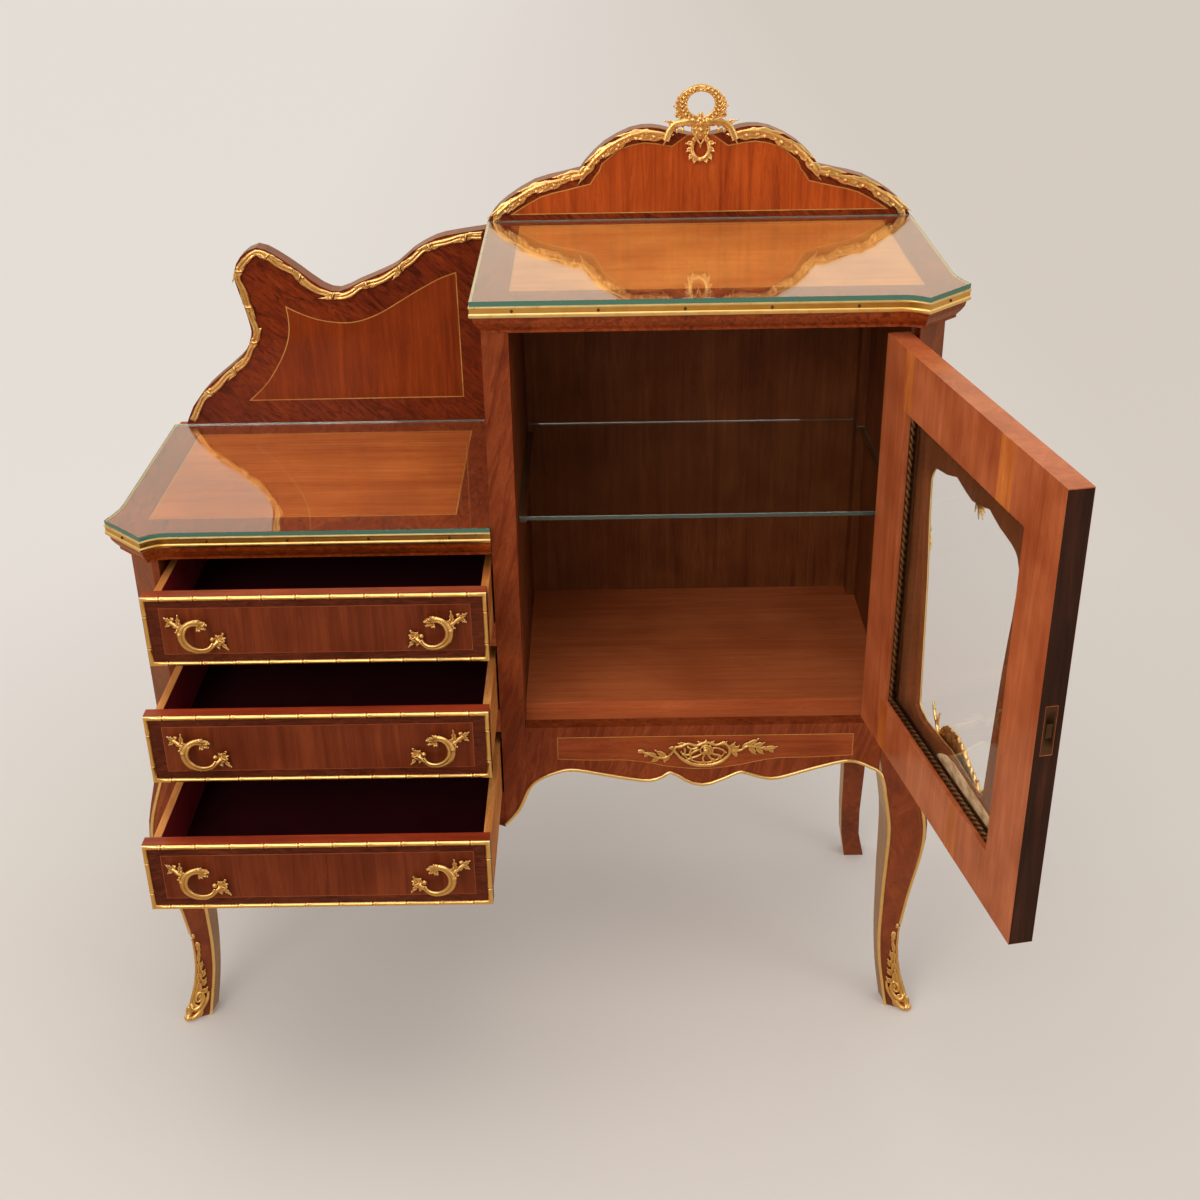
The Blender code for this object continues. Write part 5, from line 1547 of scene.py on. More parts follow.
def legLevels(name):
    # The corners of a leg by height, from the floor up
    levels = {}
    for point in mergedCorners(name):
        levels.setdefault(round(point.z, 3), []).append(point)
    # Low down, the toe cap holds the outer corners
    for point in mergedCorners(name.replace("front_", "sabot_").replace("_leg", "")):
        level = levels.get(round(point.z, 3), [])
        if point.z < 0.03 and level and all((point - other).length > 0.002 for other in level):
            level.append(point)
    return [levels[z] for z in sorted(levels) if len(levels[z]) >= 4 and abs(z - 0.040) > 0.003]


def legEdges(name):
    # Lines up the inner front edge and up the two edges of the ridge
    hand = 1 if "right" in name else -1
    inner, front, side = [], [], []
    for corners in legLevels(name):
        if corners[0].z > giltLine["legTop"]:
            break
        nearest = sorted(corners, key=lambda p: p.x * hand)[:2]
        inner.append(min(nearest, key=lambda p: p.y))
        front.append(min(corners, key=lambda p: p.y - 0.3 * p.x * hand))
        side.append(max(corners, key=lambda p: p.x * hand - 0.5 * p.y))
    return inner, front, side


def archLine():
    # The lower front edge of the partition and the apron, from left to right
    level, top = caseOrigin.y, giltLine["archTop"]
    points = mergedCorners("partition_panel") + mergedCorners("front_apron")
    points = [p for p in points if abs(p.y - level) < 0.0003 and p.z < top]
    points.sort(key=lambda p: p.x)
    kept = [points[0]]
    for point in points[1:]:
        if point.x - kept[-1].x > 0.0012:
            kept.append(point)
    return kept


rightInner, rightFront, rightSide = legEdges("front_right_leg")
leftInner, leftFront, leftSide = legEdges("front_left_leg")
arch = archLine()
legStart = arch[-1].z - 0.004
radius = giltLine["radius"]
giltRuns = [
    (arch + [p for p in rightInner[::-1] if p.z < legStart], radius),
    ([p for p in leftInner if p.z < giltLine["leftTop"]], radius),
]
ridgeLow, ridgeHigh = giltLine["ridge"]
for front, side in ((rightFront, rightSide), (leftFront, leftSide)):
    ridge = [a.lerp(b, 0.5) for a, b in zip(front, side) if ridgeLow < a.z < ridgeHigh]
    giltRuns.append((ridge, giltLine["ridgeRadius"]))
lineOff = Vector((0, -giltLine["off"] * mm, 0))
lineParts = [evenBar([p + lineOff for p in run], radius, steps=2) for run, radius in giltRuns]
edgeLines = joined("gilt_edge_lines", lineParts)
for vertex in edgeLines.data.vertices:
    vertex.co.z = max(vertex.co.z, 0.0)
activate(edgeLines)
bpy.ops.object.shade_smooth()
finishPiece(edgeLines, giltStrip, "carcase")
print("gilt lines made")


# Sabots: the CAD toe cap with scrolls, a rosette ring and a chain of leaves up the ridge. Their
# places are inward from the front corner along the face, up from the floor and off the face

sabot = {
    "toe": 7.5,
    # Swellings under the scrolls: place and radii
    "swellings": (
        ((8, 13, -0.6), (12.0, 2.4, 13.5)),
        ((8.5, 33, -0.6), (10.5, 2.4, 14.0)),
        ((-3, 12, -0.6), (6.0, 5.0, 12.0)),
    ),
    "outerScroll": (
        (20.5, 44, 1.5, 0.7),
        (22.0, 33, 2.2, 1.0),
        (18.0, 19, 3.0, 1.15),
        (11.0, 8, 3.4, 1.25),
        (2.0, 4.6, 3.4, 1.2),
        (-5.0, 5.6, 2.8, 1.1),
    ),
    "innerScroll": (
        (15.5, 40, 3.0, 0.7),
        (15.8, 30, 3.8, 0.95),
        (11.0, 21, 4.2, 1.1),
        (4.0, 20, 3.6, 1.0),
        (-2.0, 26, 2.4, 0.8),
    ),
    "scrollTube": 2.9,
    "ring": (8.6, 38.5, 5.2, 7.6),
    "ringTube": 1.9,
    # Leaves up the ridge: inward, up, lean, and length and width
    "leaves": (
        (12, 42, (0.7, 0.9), (14, 9)),
        (6, 46, (0.1, 1.0), (20, 10)),
        (8, 56, (0.6, 1.0), (15, 9)),
        (4, 62, (0.05, 1.0), (20, 9)),
        (6, 71, (0.5, 1.0), (15, 8.5)),
        (3.5, 80, (0.0, 1.0), (20, 8)),
        (4.0, 88, (0.35, 1.0), (13, 7)),
        (2.5, 98, (0.05, 1.0), (18, 5.5)),
        (2.5, 106, (0.3, 1.0), (12, 5)),
        (4, 119, (0.4, 1.0), (9, 5)),
    ),
    # A heart-shaped leaf and two small buds close the chain
    "buds": (
        ((5.2, 133, 1.4), (4.3, 2.4, 5.8)),
        ((4.0, 127, 1.4), (2.6, 2.2, 5.0)),
        ((1.8, 151, 1.0), (2.8, 2.4, 4.6)),
    ),
    "voxel": 0.7,
}


def legPoint(edges, across, height, off):
    inner, front, side = edges
    edge = inner if across >= 0 else side
    for k in range(1, len(front)):
        if front[k].z >= height * mm or k == len(front) - 1:
            t = (height * mm - front[k - 1].z) / (front[k].z - front[k - 1].z)
            corner = front[k - 1].lerp(front[k], t)
            along = (edge[k - 1].lerp(edge[k], t) - corner).normalized()
            return corner + along * abs(across) * mm + outFront * off * mm


def footWood(side, edges):
    # The wood of the foot, which the toe cap's scrolls lie on, a little inside its faces
    hand = 1 if side == "right" else -1
    rings = []
    for inner, front, outer in list(zip(*edges))[:3]:
        middle = (inner + outer) / 2 + Vector((0, 16 * mm, 0))
        back = Vector((outer.x - hand * 8 * mm, outer.y + 33 * mm, outer.z))
        behind = Vector((inner.x, inner.y + 28 * mm, inner.z))
        ring = []
        for p in (inner, front, outer, back, behind):
            towards = (Vector((middle.x, middle.y, p.z)) - p).normalized()
            ring.append(p + towards * 0.7 * mm)
        rings.append(ring)
    finishPiece(skinOver("leg_foot_" + side, rings), crossbandSide, "carcase")


def sabotPiece(side, edges):
    hand = 1 if side == "right" else -1

    def onLeg(across, height, off):
        return legPoint(edges, across, height, off)

    parts = [knob(onLeg(*place), *radii) for place, radii in sabot["swellings"]]
    for scroll in ("outerScroll", "innerScroll"):
        points = [(onLeg(*place), share) for *place, share in sabot[scroll]]
        parts.append(bar(points, sabot["scrollTube"] * mm))
    # The toe turns up and out at the corner
    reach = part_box("sabot_" + side)[1 if hand > 0 else 0]
    toe = onLeg(-2, 6, 2)
    toe.x = reach.x - hand * sabot["toe"] * mm
    parts.append(knob(toe, 7.4, 7.4, 6.0))
    bend = toe.lerp(onLeg(-3, 22, 1), 0.55) + Vector((hand * 0.5 * mm, 0, 0))
    parts.append(bar([(toe, 1.0), (bend, 0.8), (onLeg(-3, 26, 0.5), 0.7)], 5.0 * mm))
    across, height, wide, high = sabot["ring"]
    ring = loopOf(10, lambda c, s: onLeg(across + wide * c, height + high * s, 3.2))
    parts.append(evenBar(ring, sabot["ringTube"], closed=True))
    parts.append(knob(onLeg(across, height, 2.2), 3.0, 2.2, 4.0))
    for across, height, lean, size in sabot["leaves"]:
        lean = upright(-hand * lean[0], lean[1])
        parts.append(leafAt("plain", onLeg(across, height, 1.0), lean, outFront, *size, 8))
    parts += [knob(onLeg(*place), *radii) for place, radii in sabot["buds"]]
    # Two stems that carry the chain
    parts.append(bar([(onLeg(-3.4, z, 0.2), 1.1 - z / 260) for z in range(14, 158, 12)], 3.4 * mm))
    parts.append(bar([(onLeg(1.5, z, -0.4), 1.15 - z / 130) for z in range(14, 112, 12)], 3.0 * mm))
    piece = castTogether("sabot_casting_" + side, parts, sabot["voxel"], soften=1)
    for vertex in piece.data.vertices:
        vertex.co.z = max(vertex.co.z, 0.0)
        vertex.co.x = hand * min(vertex.co.x * hand, reach.x * hand)
    finishPiece(piece, giltBrass, "carcase", ["sabot_" + side])


for side, edges in (
    ("right", (rightInner, rightFront, rightSide)),
    ("left", (leftInner, leftFront, leftSide)),
):
    footWood(side, edges)
    sabotPiece(side, edges)
print("sabots made")


# Apron mount: a pierced shell with a rosette between two leafy sprays. Its places are right and
# up from its middle, and off the apron

apronMount = {
    "middle": (0.28975, 0.4755),
    "rim": (
        (-42, 9.5),
        (-37, -2),
        (-30, -9.5),
        (-18, -17),
        (0, -20.5),
        (18, -17.5),
        (31, -9),
        (37.5, 3),
        (29, 16.5),
        (18, 14.0),
        (3, 18.5),
        (-10, 13.5),
        (-23, 16.5),
        (-33, 12),
    ),
    "rimTube": 2.5,
    "innerRim": (
        (-33, 3, 2.4),
        (-26, -6, 2.6),
        (-15, -12.5, 2.8),
        (0, -15.6, 2.8),
        (15, -13, 2.8),
        (26, -6, 2.6),
        (31, 3, 2.4),
    ),
    "innerTube": 1.2,
    "spokes": (
        ((-2, 0, 3.2), (-10, -5, 3.0), (-18, -8, 2.6), (-24, -11, 2.6)),
        ((1, -2, 3.2), (-1, -8, 3.0), (2, -18, 2.6)),
        ((6, -1, 3.2), (10, -8, 3.0), (17, -13, 2.6)),
        ((9, 2, 3.2), (16, -2, 3.0), (23, -4, 2.8), (24, -9, 2.6)),
        ((10, 7, 3.2), (17, 9, 3.0), (26, 6, 2.8), (33, 0, 2.6)),
        ((-7, 7, 3.2), (-14, 3, 3.0), (-20, -2, 2.6), (-31, -2, 2.6)),
        ((-8, 10, 3.2), (-18, 8, 3.0), (-24, 12, 2.6)),
        ((-18, 8, 2.8), (-20, -2, 2.6), (-16, -10, 2.6)),
        ((-28, 10, 2.6), (-27, 2, 2.6), (-31, -2, 2.6)),
    ),
    "spokeTube": 1.75,
    "leafScale": (0.88, 1.25),
    # Leaves: place, lean, and length and width
    "leaves": (
        ((3, 14, 3.2), (0.0, 1.0), (8.5, 6)),
        ((-3, 14, 3.2), (-0.7, 0.8), (8.5, 5)),
        ((9, 14, 3.2), (0.7, 0.8), (8.5, 5)),
        ((24, 14, 3.0), (0.9, 0.5), (11, 6)),
        ((-26, 14, 3.0), (-0.9, 0.3), (12, 6)),
        ((22, -4, 3.0), (0.4, -1.0), (7, 5)),
        ((12, -9, 3.0), (0.5, -1.0), (7, 5)),
        # Left spray
        ((-42, 9, 2.6), (-1.0, 0.0), (9, 5)),
        ((-50, -4, 2.2), (-0.7, -1.0), (13, 6)),
        ((-55, -7, 2.2), (-0.1, -1.0), (9, 5)),
        ((-54, -6, 2.2), (-1.0, 0.75), (19, 7)),
        ((-64, -7, 2.2), (-0.9, -0.55), (14, 6)),
        ((-68, -5, 2.2), (-0.35, -1.0), (10, 5)),
        ((-68, -5, 2.2), (-1.0, 0.55), (15, 6)),
        ((-80, 0, 2.2), (-0.8, -0.7), (8, 4.5)),
        # Right spray
        ((39, 6, 2.6), (0.5, 1.0), (13, 6)),
        ((41, 4, 2.6), (0.6, -0.9), (13, 6)),
        ((44, 4, 2.6), (0.8, 0.9), (11, 5)),
        ((46, 0, 2.4), (0.1, -1.0), (8, 5)),
        ((56, 7, 2.2), (0.8, 0.85), (15, 6)),
        ((63, 11, 2.2), (1.0, 0.75), (19, 6.5)),
        ((66, 9, 2.2), (0.7, -1.0), (16, 7)),
        ((72, 9, 2.2), (1.0, 0.45), (17, 6.5)),
        ((76, 7, 2.2), (0.8, -0.8), (15, 6.5)),
        ((84, 8, 2.2), (1.0, -0.4), (13, 6)),
        ((88, 6, 2.2), (1.0, 0.15), (18, 5.5)),
        ((94, 5, 2.2), (0.9, -0.75), (9, 5)),
    ),
    # Stems of the left and the right spray
    "stems": (
        (
            (-42, 8, 2.4),
            (-49, -3, 2.2),
            (-57, -7.5, 2.0),
            (-68, -6, 2.0),
            (-79, -1, 2.0),
            (-88, 3, 2.0),
        ),
        (
            (37, 4, 2.4),
            (46, 3, 2.2),
            (53, 4, 2.0),
            (62, 10, 2.0),
            (74, 9, 2.0),
            (92, 6, 2.0),
            (102, 6.4, 1.8),
        ),
    ),
    "stemTube": 1.9,
    "voxel": 0.6,
}


def onApron(right, up, off):
    x, z = apronMount["middle"]
    return at(x + right * mm, -off * mm, z + up * mm)


def apronBar(places, radius):
    return evenBar([onApron(*place) for place in places], radius)


rim = [(onApron(x, z, 3.0), 1.2 if z < -5 else 0.95) for x, z in apronMount["rim"]]
parts = [
    bar(rim, apronMount["rimTube"] * mm, closed=True),
    apronBar(apronMount["innerRim"], apronMount["innerTube"]),
    knob(onApron(3, 4.5, 4.0), 4.2, 3.4, 4.2),
]
spiral = []
for step in range(15):
    angle = math.radians(step * 40 - 60)
    reach = 10.5 - step * 0.42
    across, up = 3 + reach * math.cos(angle), 5.5 + reach * 0.85 * math.sin(angle)
    spiral.append((across, up, 3.4 + step * 0.06))
parts.append(apronBar(spiral, 1.5))
parts += [apronBar(spoke, apronMount["spokeTube"]) for spoke in apronMount["spokes"]]
for place, lean, size in apronMount["leaves"]:
    length, width = [value * scale for value, scale in zip(size, apronMount["leafScale"])]
    parts.append(leafAt("plain", onApron(*place), upright(*lean), outFront, length, width, 7))
parts += [apronBar(stem, apronMount["stemTube"]) for stem in apronMount["stems"]]
parts.append(knob(onApron(-91, 4.2, 2.2), 6.4, 2.0, 3.4))
apronCasting = castTogether("apron_shell_mount", parts, apronMount["voxel"], soften=1)
mountLow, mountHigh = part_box("apron_mount")
for vertex in apronCasting.data.vertices:
    vertex.co.x = min(max(vertex.co.x, mountLow.x), mountHigh.x)
    vertex.co.y = min(vertex.co.y, caseOrigin.y - 0.0002)
finishPiece(apronCasting, giltBrass, "carcase", ["apron_mount"])
print("apron mount made")


# Inlays: veneered fields and thin lines of stringing round them. Places are in metres from the
# partition's front left corner, and the other sizes in millimetres

inlay = {
    "fieldProud": 0.12,
    "lineProud": 0.17,
    "lineWide": 1.6,
    "fineWide": 0.9,
    "drawerInset": (22, 17),
}


def smoothed(points, steps=5):
    # A soft open line through its points
    result = []
    for i in range(len(points) - 1):
        a = points[max(i - 1, 0)]
        b, c = points[i], points[i + 1]
        d = points[min(i + 2, len(points) - 1)]
        for k in range(steps):
            t = k / steps
            first = (c - a) * t
            second = (2 * a - 5 * b + 4 * c - d) * t**2
            third = (3 * b - a - 3 * c + d) * t**3
            result.append(0.5 * (2 * b + first + second + third))
    return result + [points[-1]]


def veneerField(
    name, outline, normal, material, body, proud=inlay["fieldProud"]
):
    bm = bmesh.new()
    face = bm.faces.new([bm.verts.new(p) for p in outline])
    grown = bmesh.ops.extrude_face_region(bm, geom=[face])
    upper = [part for part in grown["geom"] if isinstance(part, bmesh.types.BMVert)]
    bmesh.ops.translate(bm, verts=upper, vec=normal * proud * mm)
    bmesh.ops.recalc_face_normals(bm, faces=bm.faces)
    return finishPiece(objectOf(name, bm), material, body)


def inlaidField(
    name, outline, normal, material, body="carcase", stringing=stringingWood, width="lineWide"
):
    # A veneered field with a line of stringing round it
    veneerField(name + "_field", outline, normal, material, body)
    half, proud = inlay[width] * mm / 2, inlay["lineProud"] * mm
    section = ((-half, 0), (-half * 0.8, proud), (half * 0.8, proud), (half, 0))
    line = sweep(name + "_stringing", outline, section, normal, closed=True)
    finishPiece(line, stringing, body)


def onBoard(points):
    return [at(x, boardY, z) for x, z in points]


for top, corners, material in (
    ("tall_top", (0.0365, 0.561, 0.035, 0.365), fieldLevelTall),
    ("low_top", (-0.465, -0.049, 0.037, 0.347), fieldLevelLow),
):
    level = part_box(top + "_panel")[1].z
    outline = [at(x, y, level) for x, y in fourCorners(*corners)]
    inlaidField(top, outline, skyward, material)

boardY = boardFront - caseOrigin.y
backboardField = {
    "top": (
        (-0.3207, 1.026),
        (-0.302, 1.016),
        (-0.273, 1.005),
        (-0.240, 1.000),
        (-0.213, 1.002),
        (-0.182, 1.013),
        (-0.150, 1.031),
        (-0.119, 1.049),
        (-0.088, 1.065),
        (-0.063, 1.074),
    ),
    "corner": (-0.062, 0.880),
    "left": (
        (-0.391, 0.879),
        (-0.363, 0.905),
        (-0.341, 0.936),
        (-0.327, 0.963),
        (-0.320, 0.987),
        (-0.319, 1.010),
        (-0.3207, 1.026),
    ),
}
outline = smoothed(onBoard(backboardField["top"])) + onBoard([backboardField["corner"]])
outline += smoothed(onBoard(backboardField["left"]))[:-1]
inlaidField("backboard", outline, outFront, fieldUpright)

# The crest's field follows its edge from the foot, then a cusp, and is alike on both sides
crestInlay = {
    "inset": 22.5,
    "foot": (0.024, 1.159),
    "edgeFrom": (0.026, 1.168),
    "edgeTo": 0.148,
    "cusp": (
        (0.152, 1.2185),
        (0.1565, 1.2295),
        (0.1639, 1.2354),
        (0.1778, 1.2468),
        (0.186, 1.2511),
        (0.1998, 1.2554),
        (0.218, 1.2584),
        (0.2345, 1.2567),
        (0.2574, 1.2527),
        (0.280, 1.2684),
    ),
}
edgeStart, edgeEnd = onBoard([crestInlay["edgeFrom"], (crestInlay["edgeTo"], 0)])
half = onBoard([crestInlay["foot"]])
for p in offsetLine(crestEdge, outFront, crestInlay["inset"] * mm):
    if p.z > edgeStart.z and edgeStart.x < p.x < edgeEnd.x:
        half.append(Vector((p.x, boardFront, p.z)))
half += onBoard(crestInlay["cusp"])
outline = half + [Vector((2 * crestMiddle - p.x, p.y, p.z)) for p in half[::-1]]
inlaidField("crest", outline, outFront, crestField)

apronInlay = {
    "lower": (
        (0.080, 0.467),
        (0.130, 0.4645),
        (0.175, 0.464),
        (0.210, 0.459),
        (0.240, 0.452),
        (0.290, 0.447),
        (0.335, 0.452),
        (0.368, 0.459),
        (0.400, 0.464),
        (0.450, 0.4645),
        (0.504, 0.467),
    ),
    "upper": ((0.504, 0.503), (0.080, 0.503)),
}
outline = smoothed([at(x, 0, z) for x, z in apronInlay["lower"]])
outline += [at(x, 0, z) for x, z in apronInlay["upper"]]
inlaidField("apron", outline, outFront, apronField, width="fineWide")

for drawer in drawers:
    low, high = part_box(drawer + "_front")
    inX, inZ = [inset * mm for inset in inlay["drawerInset"]]
    corners = fourCorners(low.x + inX, high.x - inX, low.z + inZ, high.z - inZ)
    outline = [Vector((x, low.y, z)) for x, z in corners]
    inlaidField(drawer, outline, outFront, drawerField, drawer, darkStringing, "fineWide")

# Red lining on the drawers' sides and back, and the upper edges of their fronts
for drawer in drawers:
    box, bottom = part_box(drawer + "_box"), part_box(drawer + "_bottom")
    left, right, back = bottom[0].x - 0.0003, bottom[1].x + 0.0003, bottom[1].y + 0.0003
    low, high, near = bottom[1].z + 0.0001, box[1].z - 0.0012, box[0].y + 0.0002
    alongSide = fourCorners(near, back, low, high)
    for name, outline, normal in (
        ("left", [(left, y, z) for y, z in alongSide], Vector((1, 0, 0))),
        ("right", [(right, y, z) for y, z in alongSide], Vector((-1, 0, 0))),
        ("back", [(x, back, z) for x, z in fourCorners(left, right, low, high)], outFront),
    ):
        outline = [Vector(p) for p in outline]
        name = drawer + "_lining_" + name
        veneerField(name, outline, normal, burgundySides, drawer)
    # The fronts' upper edges, lighter as painted light from above
    a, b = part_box(drawer + "_front")
    edge = [Vector((x, y, b.z)) for x, y in fourCorners(a.x, b.x, a.y + 0.0004, b.y)]
    name = drawer + "_front_upper_edge"
    veneerField(name, edge, skyward, litDrawerEdgeWood, drawer, 0.05)

# Dark sheets on the cabinet's inner sides and posts, painted shade where these lie in shadow
shadeSheetHeight = (0.5352, 1.1048)
for name, x, y0, y1, towards in (
    ("partition", 0.0345, 0.048, 0.4035, 1),
    ("right_panel", 0.5575, 0.0605, 0.3715, -1),
    ("front_post", 0.545, 0.0175, 0.0598, -1),
    ("rear_post", 0.545, 0.3722, 0.4035, -1),
):
    outline = [at(x, y, z) for y, z in fourCorners(y0, y1, *shadeSheetHeight)]
    normal = Vector((towards, 0, 0))
    veneerField("inner_side_" + name, outline, normal, stainAndShadeWood, "carcase")
outline = [at(x, 0.3720, z) for x, z in fourCorners(0.545, 0.5575, *shadeSheetHeight)]
name = "inner_side_rear_post_face"
veneerField(name, outline, outFront, stainAndShadeWood, "carcase")
print("inlays made")


# Door pieces, made on the shut door and then swung open with it

doorOpen = 100.6
doorPin = at(0.546, 0.0115, 0.0)
openTurn = (
    Matrix.Translation(doorPin)
    @ Matrix.Rotation(math.radians(doorOpen), 4, "Z")
    @ Matrix.Translation(-doorPin)
)
doorDepth = {"front": 0.016, "faceBack": 0.024, "inner": 0.045, "glassBack": 0.0283}
glazed = {"left": 0.1186, "right": 0.464, "bottom": 0.6008, "top": 1.018}


def swungOpen(piece):
    piece.data.transform(openTurn)
    return piece


for name, *corners in (
    ("door_band_bottom_free", 0.200, 0.232, 0.529, 0.601),
    ("door_band_bottom_hinge", 0.448, 0.476, 0.529, 0.601),
    ("door_band_top_free", 0.157, 0.193, 1.018, 1.096),
    ("door_band_top_hinge", 0.449, 0.477, 1.018, 1.096),
):
    outline = [at(x, doorDepth["inner"], z) for x, z in fourCorners(*corners)]
    swungOpen(veneerField(name, outline, inward, paleBandWood, "door"))

# Veneer on the outer side of the frame
for name, *corners in (
    ("door_veneer_free_stile", 0.0366, 0.1184, 0.5292, 1.0948),
    ("door_veneer_hinge_stile", 0.4642, 0.5434, 0.5292, 1.0948),
    ("door_veneer_top_rail", 0.1186, 0.464, 1.0182, 1.0948),
    ("door_veneer_bottom_rail", 0.1186, 0.464, 0.5292, 0.6006),
):
    outline = [at(x, doorDepth["front"], z) for x, z in fourCorners(*corners)]
    swungOpen(veneerField(name, outline, outFront, crossbandWood, "door", 0.06))

# The door's edge, painted dark as painted shade, with a gap for the lock, from front to inside and
# up
doorEdge = {
    "x": 0.036,
    "front": 0.0162,
    "inner": 0.0448,
    "low": 0.5292,
    "high": 1.0948,
    "lockFront": 0.0232,
    "lockInner": 0.0378,
    "lockLow": 0.7838,
    "lockHigh": 0.8462,
}
edgeOutline = [
    (doorEdge["front"], doorEdge["low"]),
    (doorEdge["inner"], doorEdge["low"]),
    (doorEdge["inner"], doorEdge["high"]),
    (doorEdge["front"], doorEdge["high"]),
    (doorEdge["front"], doorEdge["lockHigh"]),
    (doorEdge["lockInner"], doorEdge["lockHigh"]),
    (doorEdge["lockInner"], doorEdge["lockLow"]),
    (doorEdge["front"], doorEdge["lockLow"]),
]
stripSides = ("front", "lockFront", "lockLow", "lockHigh")
stripOutline = fourCorners(*[doorEdge[side] for side in stripSides])
for name, outline in (
    ("door_edge_veneer", edgeOutline),
    ("door_edge_veneer_front", stripOutline),
):
    outline = [at(doorEdge["x"], y, z) for y, z in outline]
    normal = Vector((-1, 0, 0))
    swungOpen(veneerField(name, outline, normal, doorEdgeShadeWood, "door", 0.03))

rope = {
    "radius": 3.4,
    "lobe": 0.34,
    "pitch": 10.5,
    "stepsPerPitch": 10,
    "sides": 12,
    "inset": 4.3,
    "offGlass": 7.2,
    # The stepped moulding under the rope: into the opening from its edge, and off the glass
    "moulding": (
        (0.2, 0.0),
        (0.2, 9.6),
        (1.2, 10.4),
        (2.0, 9.4),
        (2.0, 5.0),
        (6.0, 4.4),
        (6.6, 3.4),
        (6.9, 0.0),
    ),
}


def twistedRope(start, end, away):
    # Two strands turned round each other along a straight line
    along = (end - start).normalized()
    side = along.cross(away)
    length = (end - start).length
    count = int(length / (rope["pitch"] * mm) * rope["stepsPerPitch"])
    rings = []
    for i in range(count + 1):
        centre = start + along * length * i / count
        turn = math.tau * 0.5 * i / rope["stepsPerPitch"]
        ring = []
        for j in range(rope["sides"]):
            angle = math.tau * j / rope["sides"]
            lobe = rope["lobe"] * abs(math.cos(angle - turn)) * 1.4
            reach = rope["radius"] * mm * (1 - rope["lobe"] + lobe)
            ring.append(centre + (side * math.cos(angle) + away * math.sin(angle)) * reach)
        rings.append(ring)
    return skinOver("rope", rings)


corners = fourCorners(glazed["left"], glazed["right"], glazed["bottom"], glazed["top"])
beadBack = doorDepth["glassBack"] + 0.0006
ropeInset, ropeDepth = rope["inset"] * mm, beadBack + rope["offGlass"] * mm
ropeCorners = [
    at(x + towardsX * ropeInset, ropeDepth, z + towardsZ * ropeInset)
    for (x, z), (towardsX, towardsZ) in zip(corners, ((1, 1), (-1, 1), (-1, -1), (1, -1)))
]
parts = [twistedRope(ropeCorners[i], ropeCorners[(i + 1) % 4], inward) for i in range(4)]
base = [at(x, beadBack, z) for x, z in corners]
intoOpening = 1 if (base[1] - base[0]).cross(inward).dot(skyward) > 0 else -1
section = [(intoOpening * s * mm, u * mm) for s, u in rope["moulding"]]
parts.append(sweep("bead_moulding", base, section, inward, closed=True))
ropeBead = joined("door_rope_moulding", parts)
activate(ropeBead)
bpy.ops.object.shade_smooth_by_angle(angle=math.radians(45))
swungOpen(ropeBead)
finishPiece(ropeBead, bronzeRope, "door", ["door_rope_bead"])

# A gilt line round the shaped opening in the door's outer face
faceNormal = openTurn.to_3x3() @ outFront
faceLevel = max(p.dot(faceNormal) for p in mergedCorners("door_shaped_face"))
faceHoles = [rim for rim in faceRims("door_shaped_face", faceNormal, faceLevel) if len(rim) > 8]
openingLine = [p - faceNormal * 0.6 * mm for p in faceHoles[0]]
openingGilt = evenBar(openingLine, 1.3, closed=True, steps=1)
openingGilt.name = "door_opening_gilt_line"
activate(openingGilt)
bpy.ops.object.shade_smooth()
finishPiece(openingGilt, giltStrip, "door")

# Shell mount on the foot of the opening. Its places are right and up on the shut door from the
# shell's middle, and off the door's front

shell = {
    "middle": (0.282, 0.6088),
    "rim": (
        (60, -8, 0.9),
        (59, 6, 1.0),
        (54, 19, 1.1),
        (44, 30, 1.2),
        (33, 36, 1.3),
        (20, 37, 1.2),
        (6, 39, 1.3),
        (-8, 36, 1.2),
        (-24, 30, 1.3),
        (-38, 23, 1.2),
        (-52, 17, 1.2),
        (-66, 11, 1.1),
        (-80, 5, 1.0),
        (-91, 6, 0.8),
    ),
    "rimTube": 2.7,
    "webColumns": 60,
    "webRows": 12,
    "webFrom": -88,
    "webLong": 146,
    "webLow": -11,
    "webThick": 1.8,
    "rayColumns": 7.5,
    # Stems beyond the rim: points and radius
    "stems": (
        (
            (58, -6, 3),
            (63, 4, 3.2),
            (66, 13, 3.4),
            (73, 23, 3.4),
            (80, 31, 3.2),
            (84, 38, 3.0),
            3.0,
        ),
        ((70, 17, 3.4), (70, 25, 3.4), (68, 31, 3.2), 2.2),
        ((62, 0, 3.2), (60, 10, 4.2), (62, 20, 4.4), 1.8),
        ((-80, 3, 3.0), (-88, 9, 3.2), (-95, 12, 3.0), 2.2),
        ((-74, 6, 3.0), (-78, 14, 3.2), (-80, 20, 3.0), 2.0),
        ((-84, 2, 3.0), (-94, -1, 3.0), (-101, 2, 3.0), 2.0),
    ),
    "leaves": (
        ((82, 34, 3.0), (0.35, 1.0), (12, 7)),
        ((68, 29, 3.2), (-0.25, 1.0), (11, 6)),
        ((74, 24, 3.2), (0.9, 0.9), (11, 6)),
        ((64, 8, 3.6), (0.6, 1.0), (14, 6)),
        ((-40, 16, 4.0), (-0.9, 0.6), (13, 7)),
        ((-54, 12, 4.0), (-0.9, 0.8), (13, 7)),
        ((-70, 7, 4.0), (-1.0, 0.4), (14, 7)),
    ),
    "voxel": 0.8,
    # The brass at the mount's foot, as seen through the glass, in metres
    "foot": (
        (0.127, 0.6015),
        (0.322, 0.6015),
        (0.316, 0.6085),
        (0.305, 0.6160),
        (0.290, 0.6225),
        (0.268, 0.6262),
        (0.140, 0.6205),
    ),
}


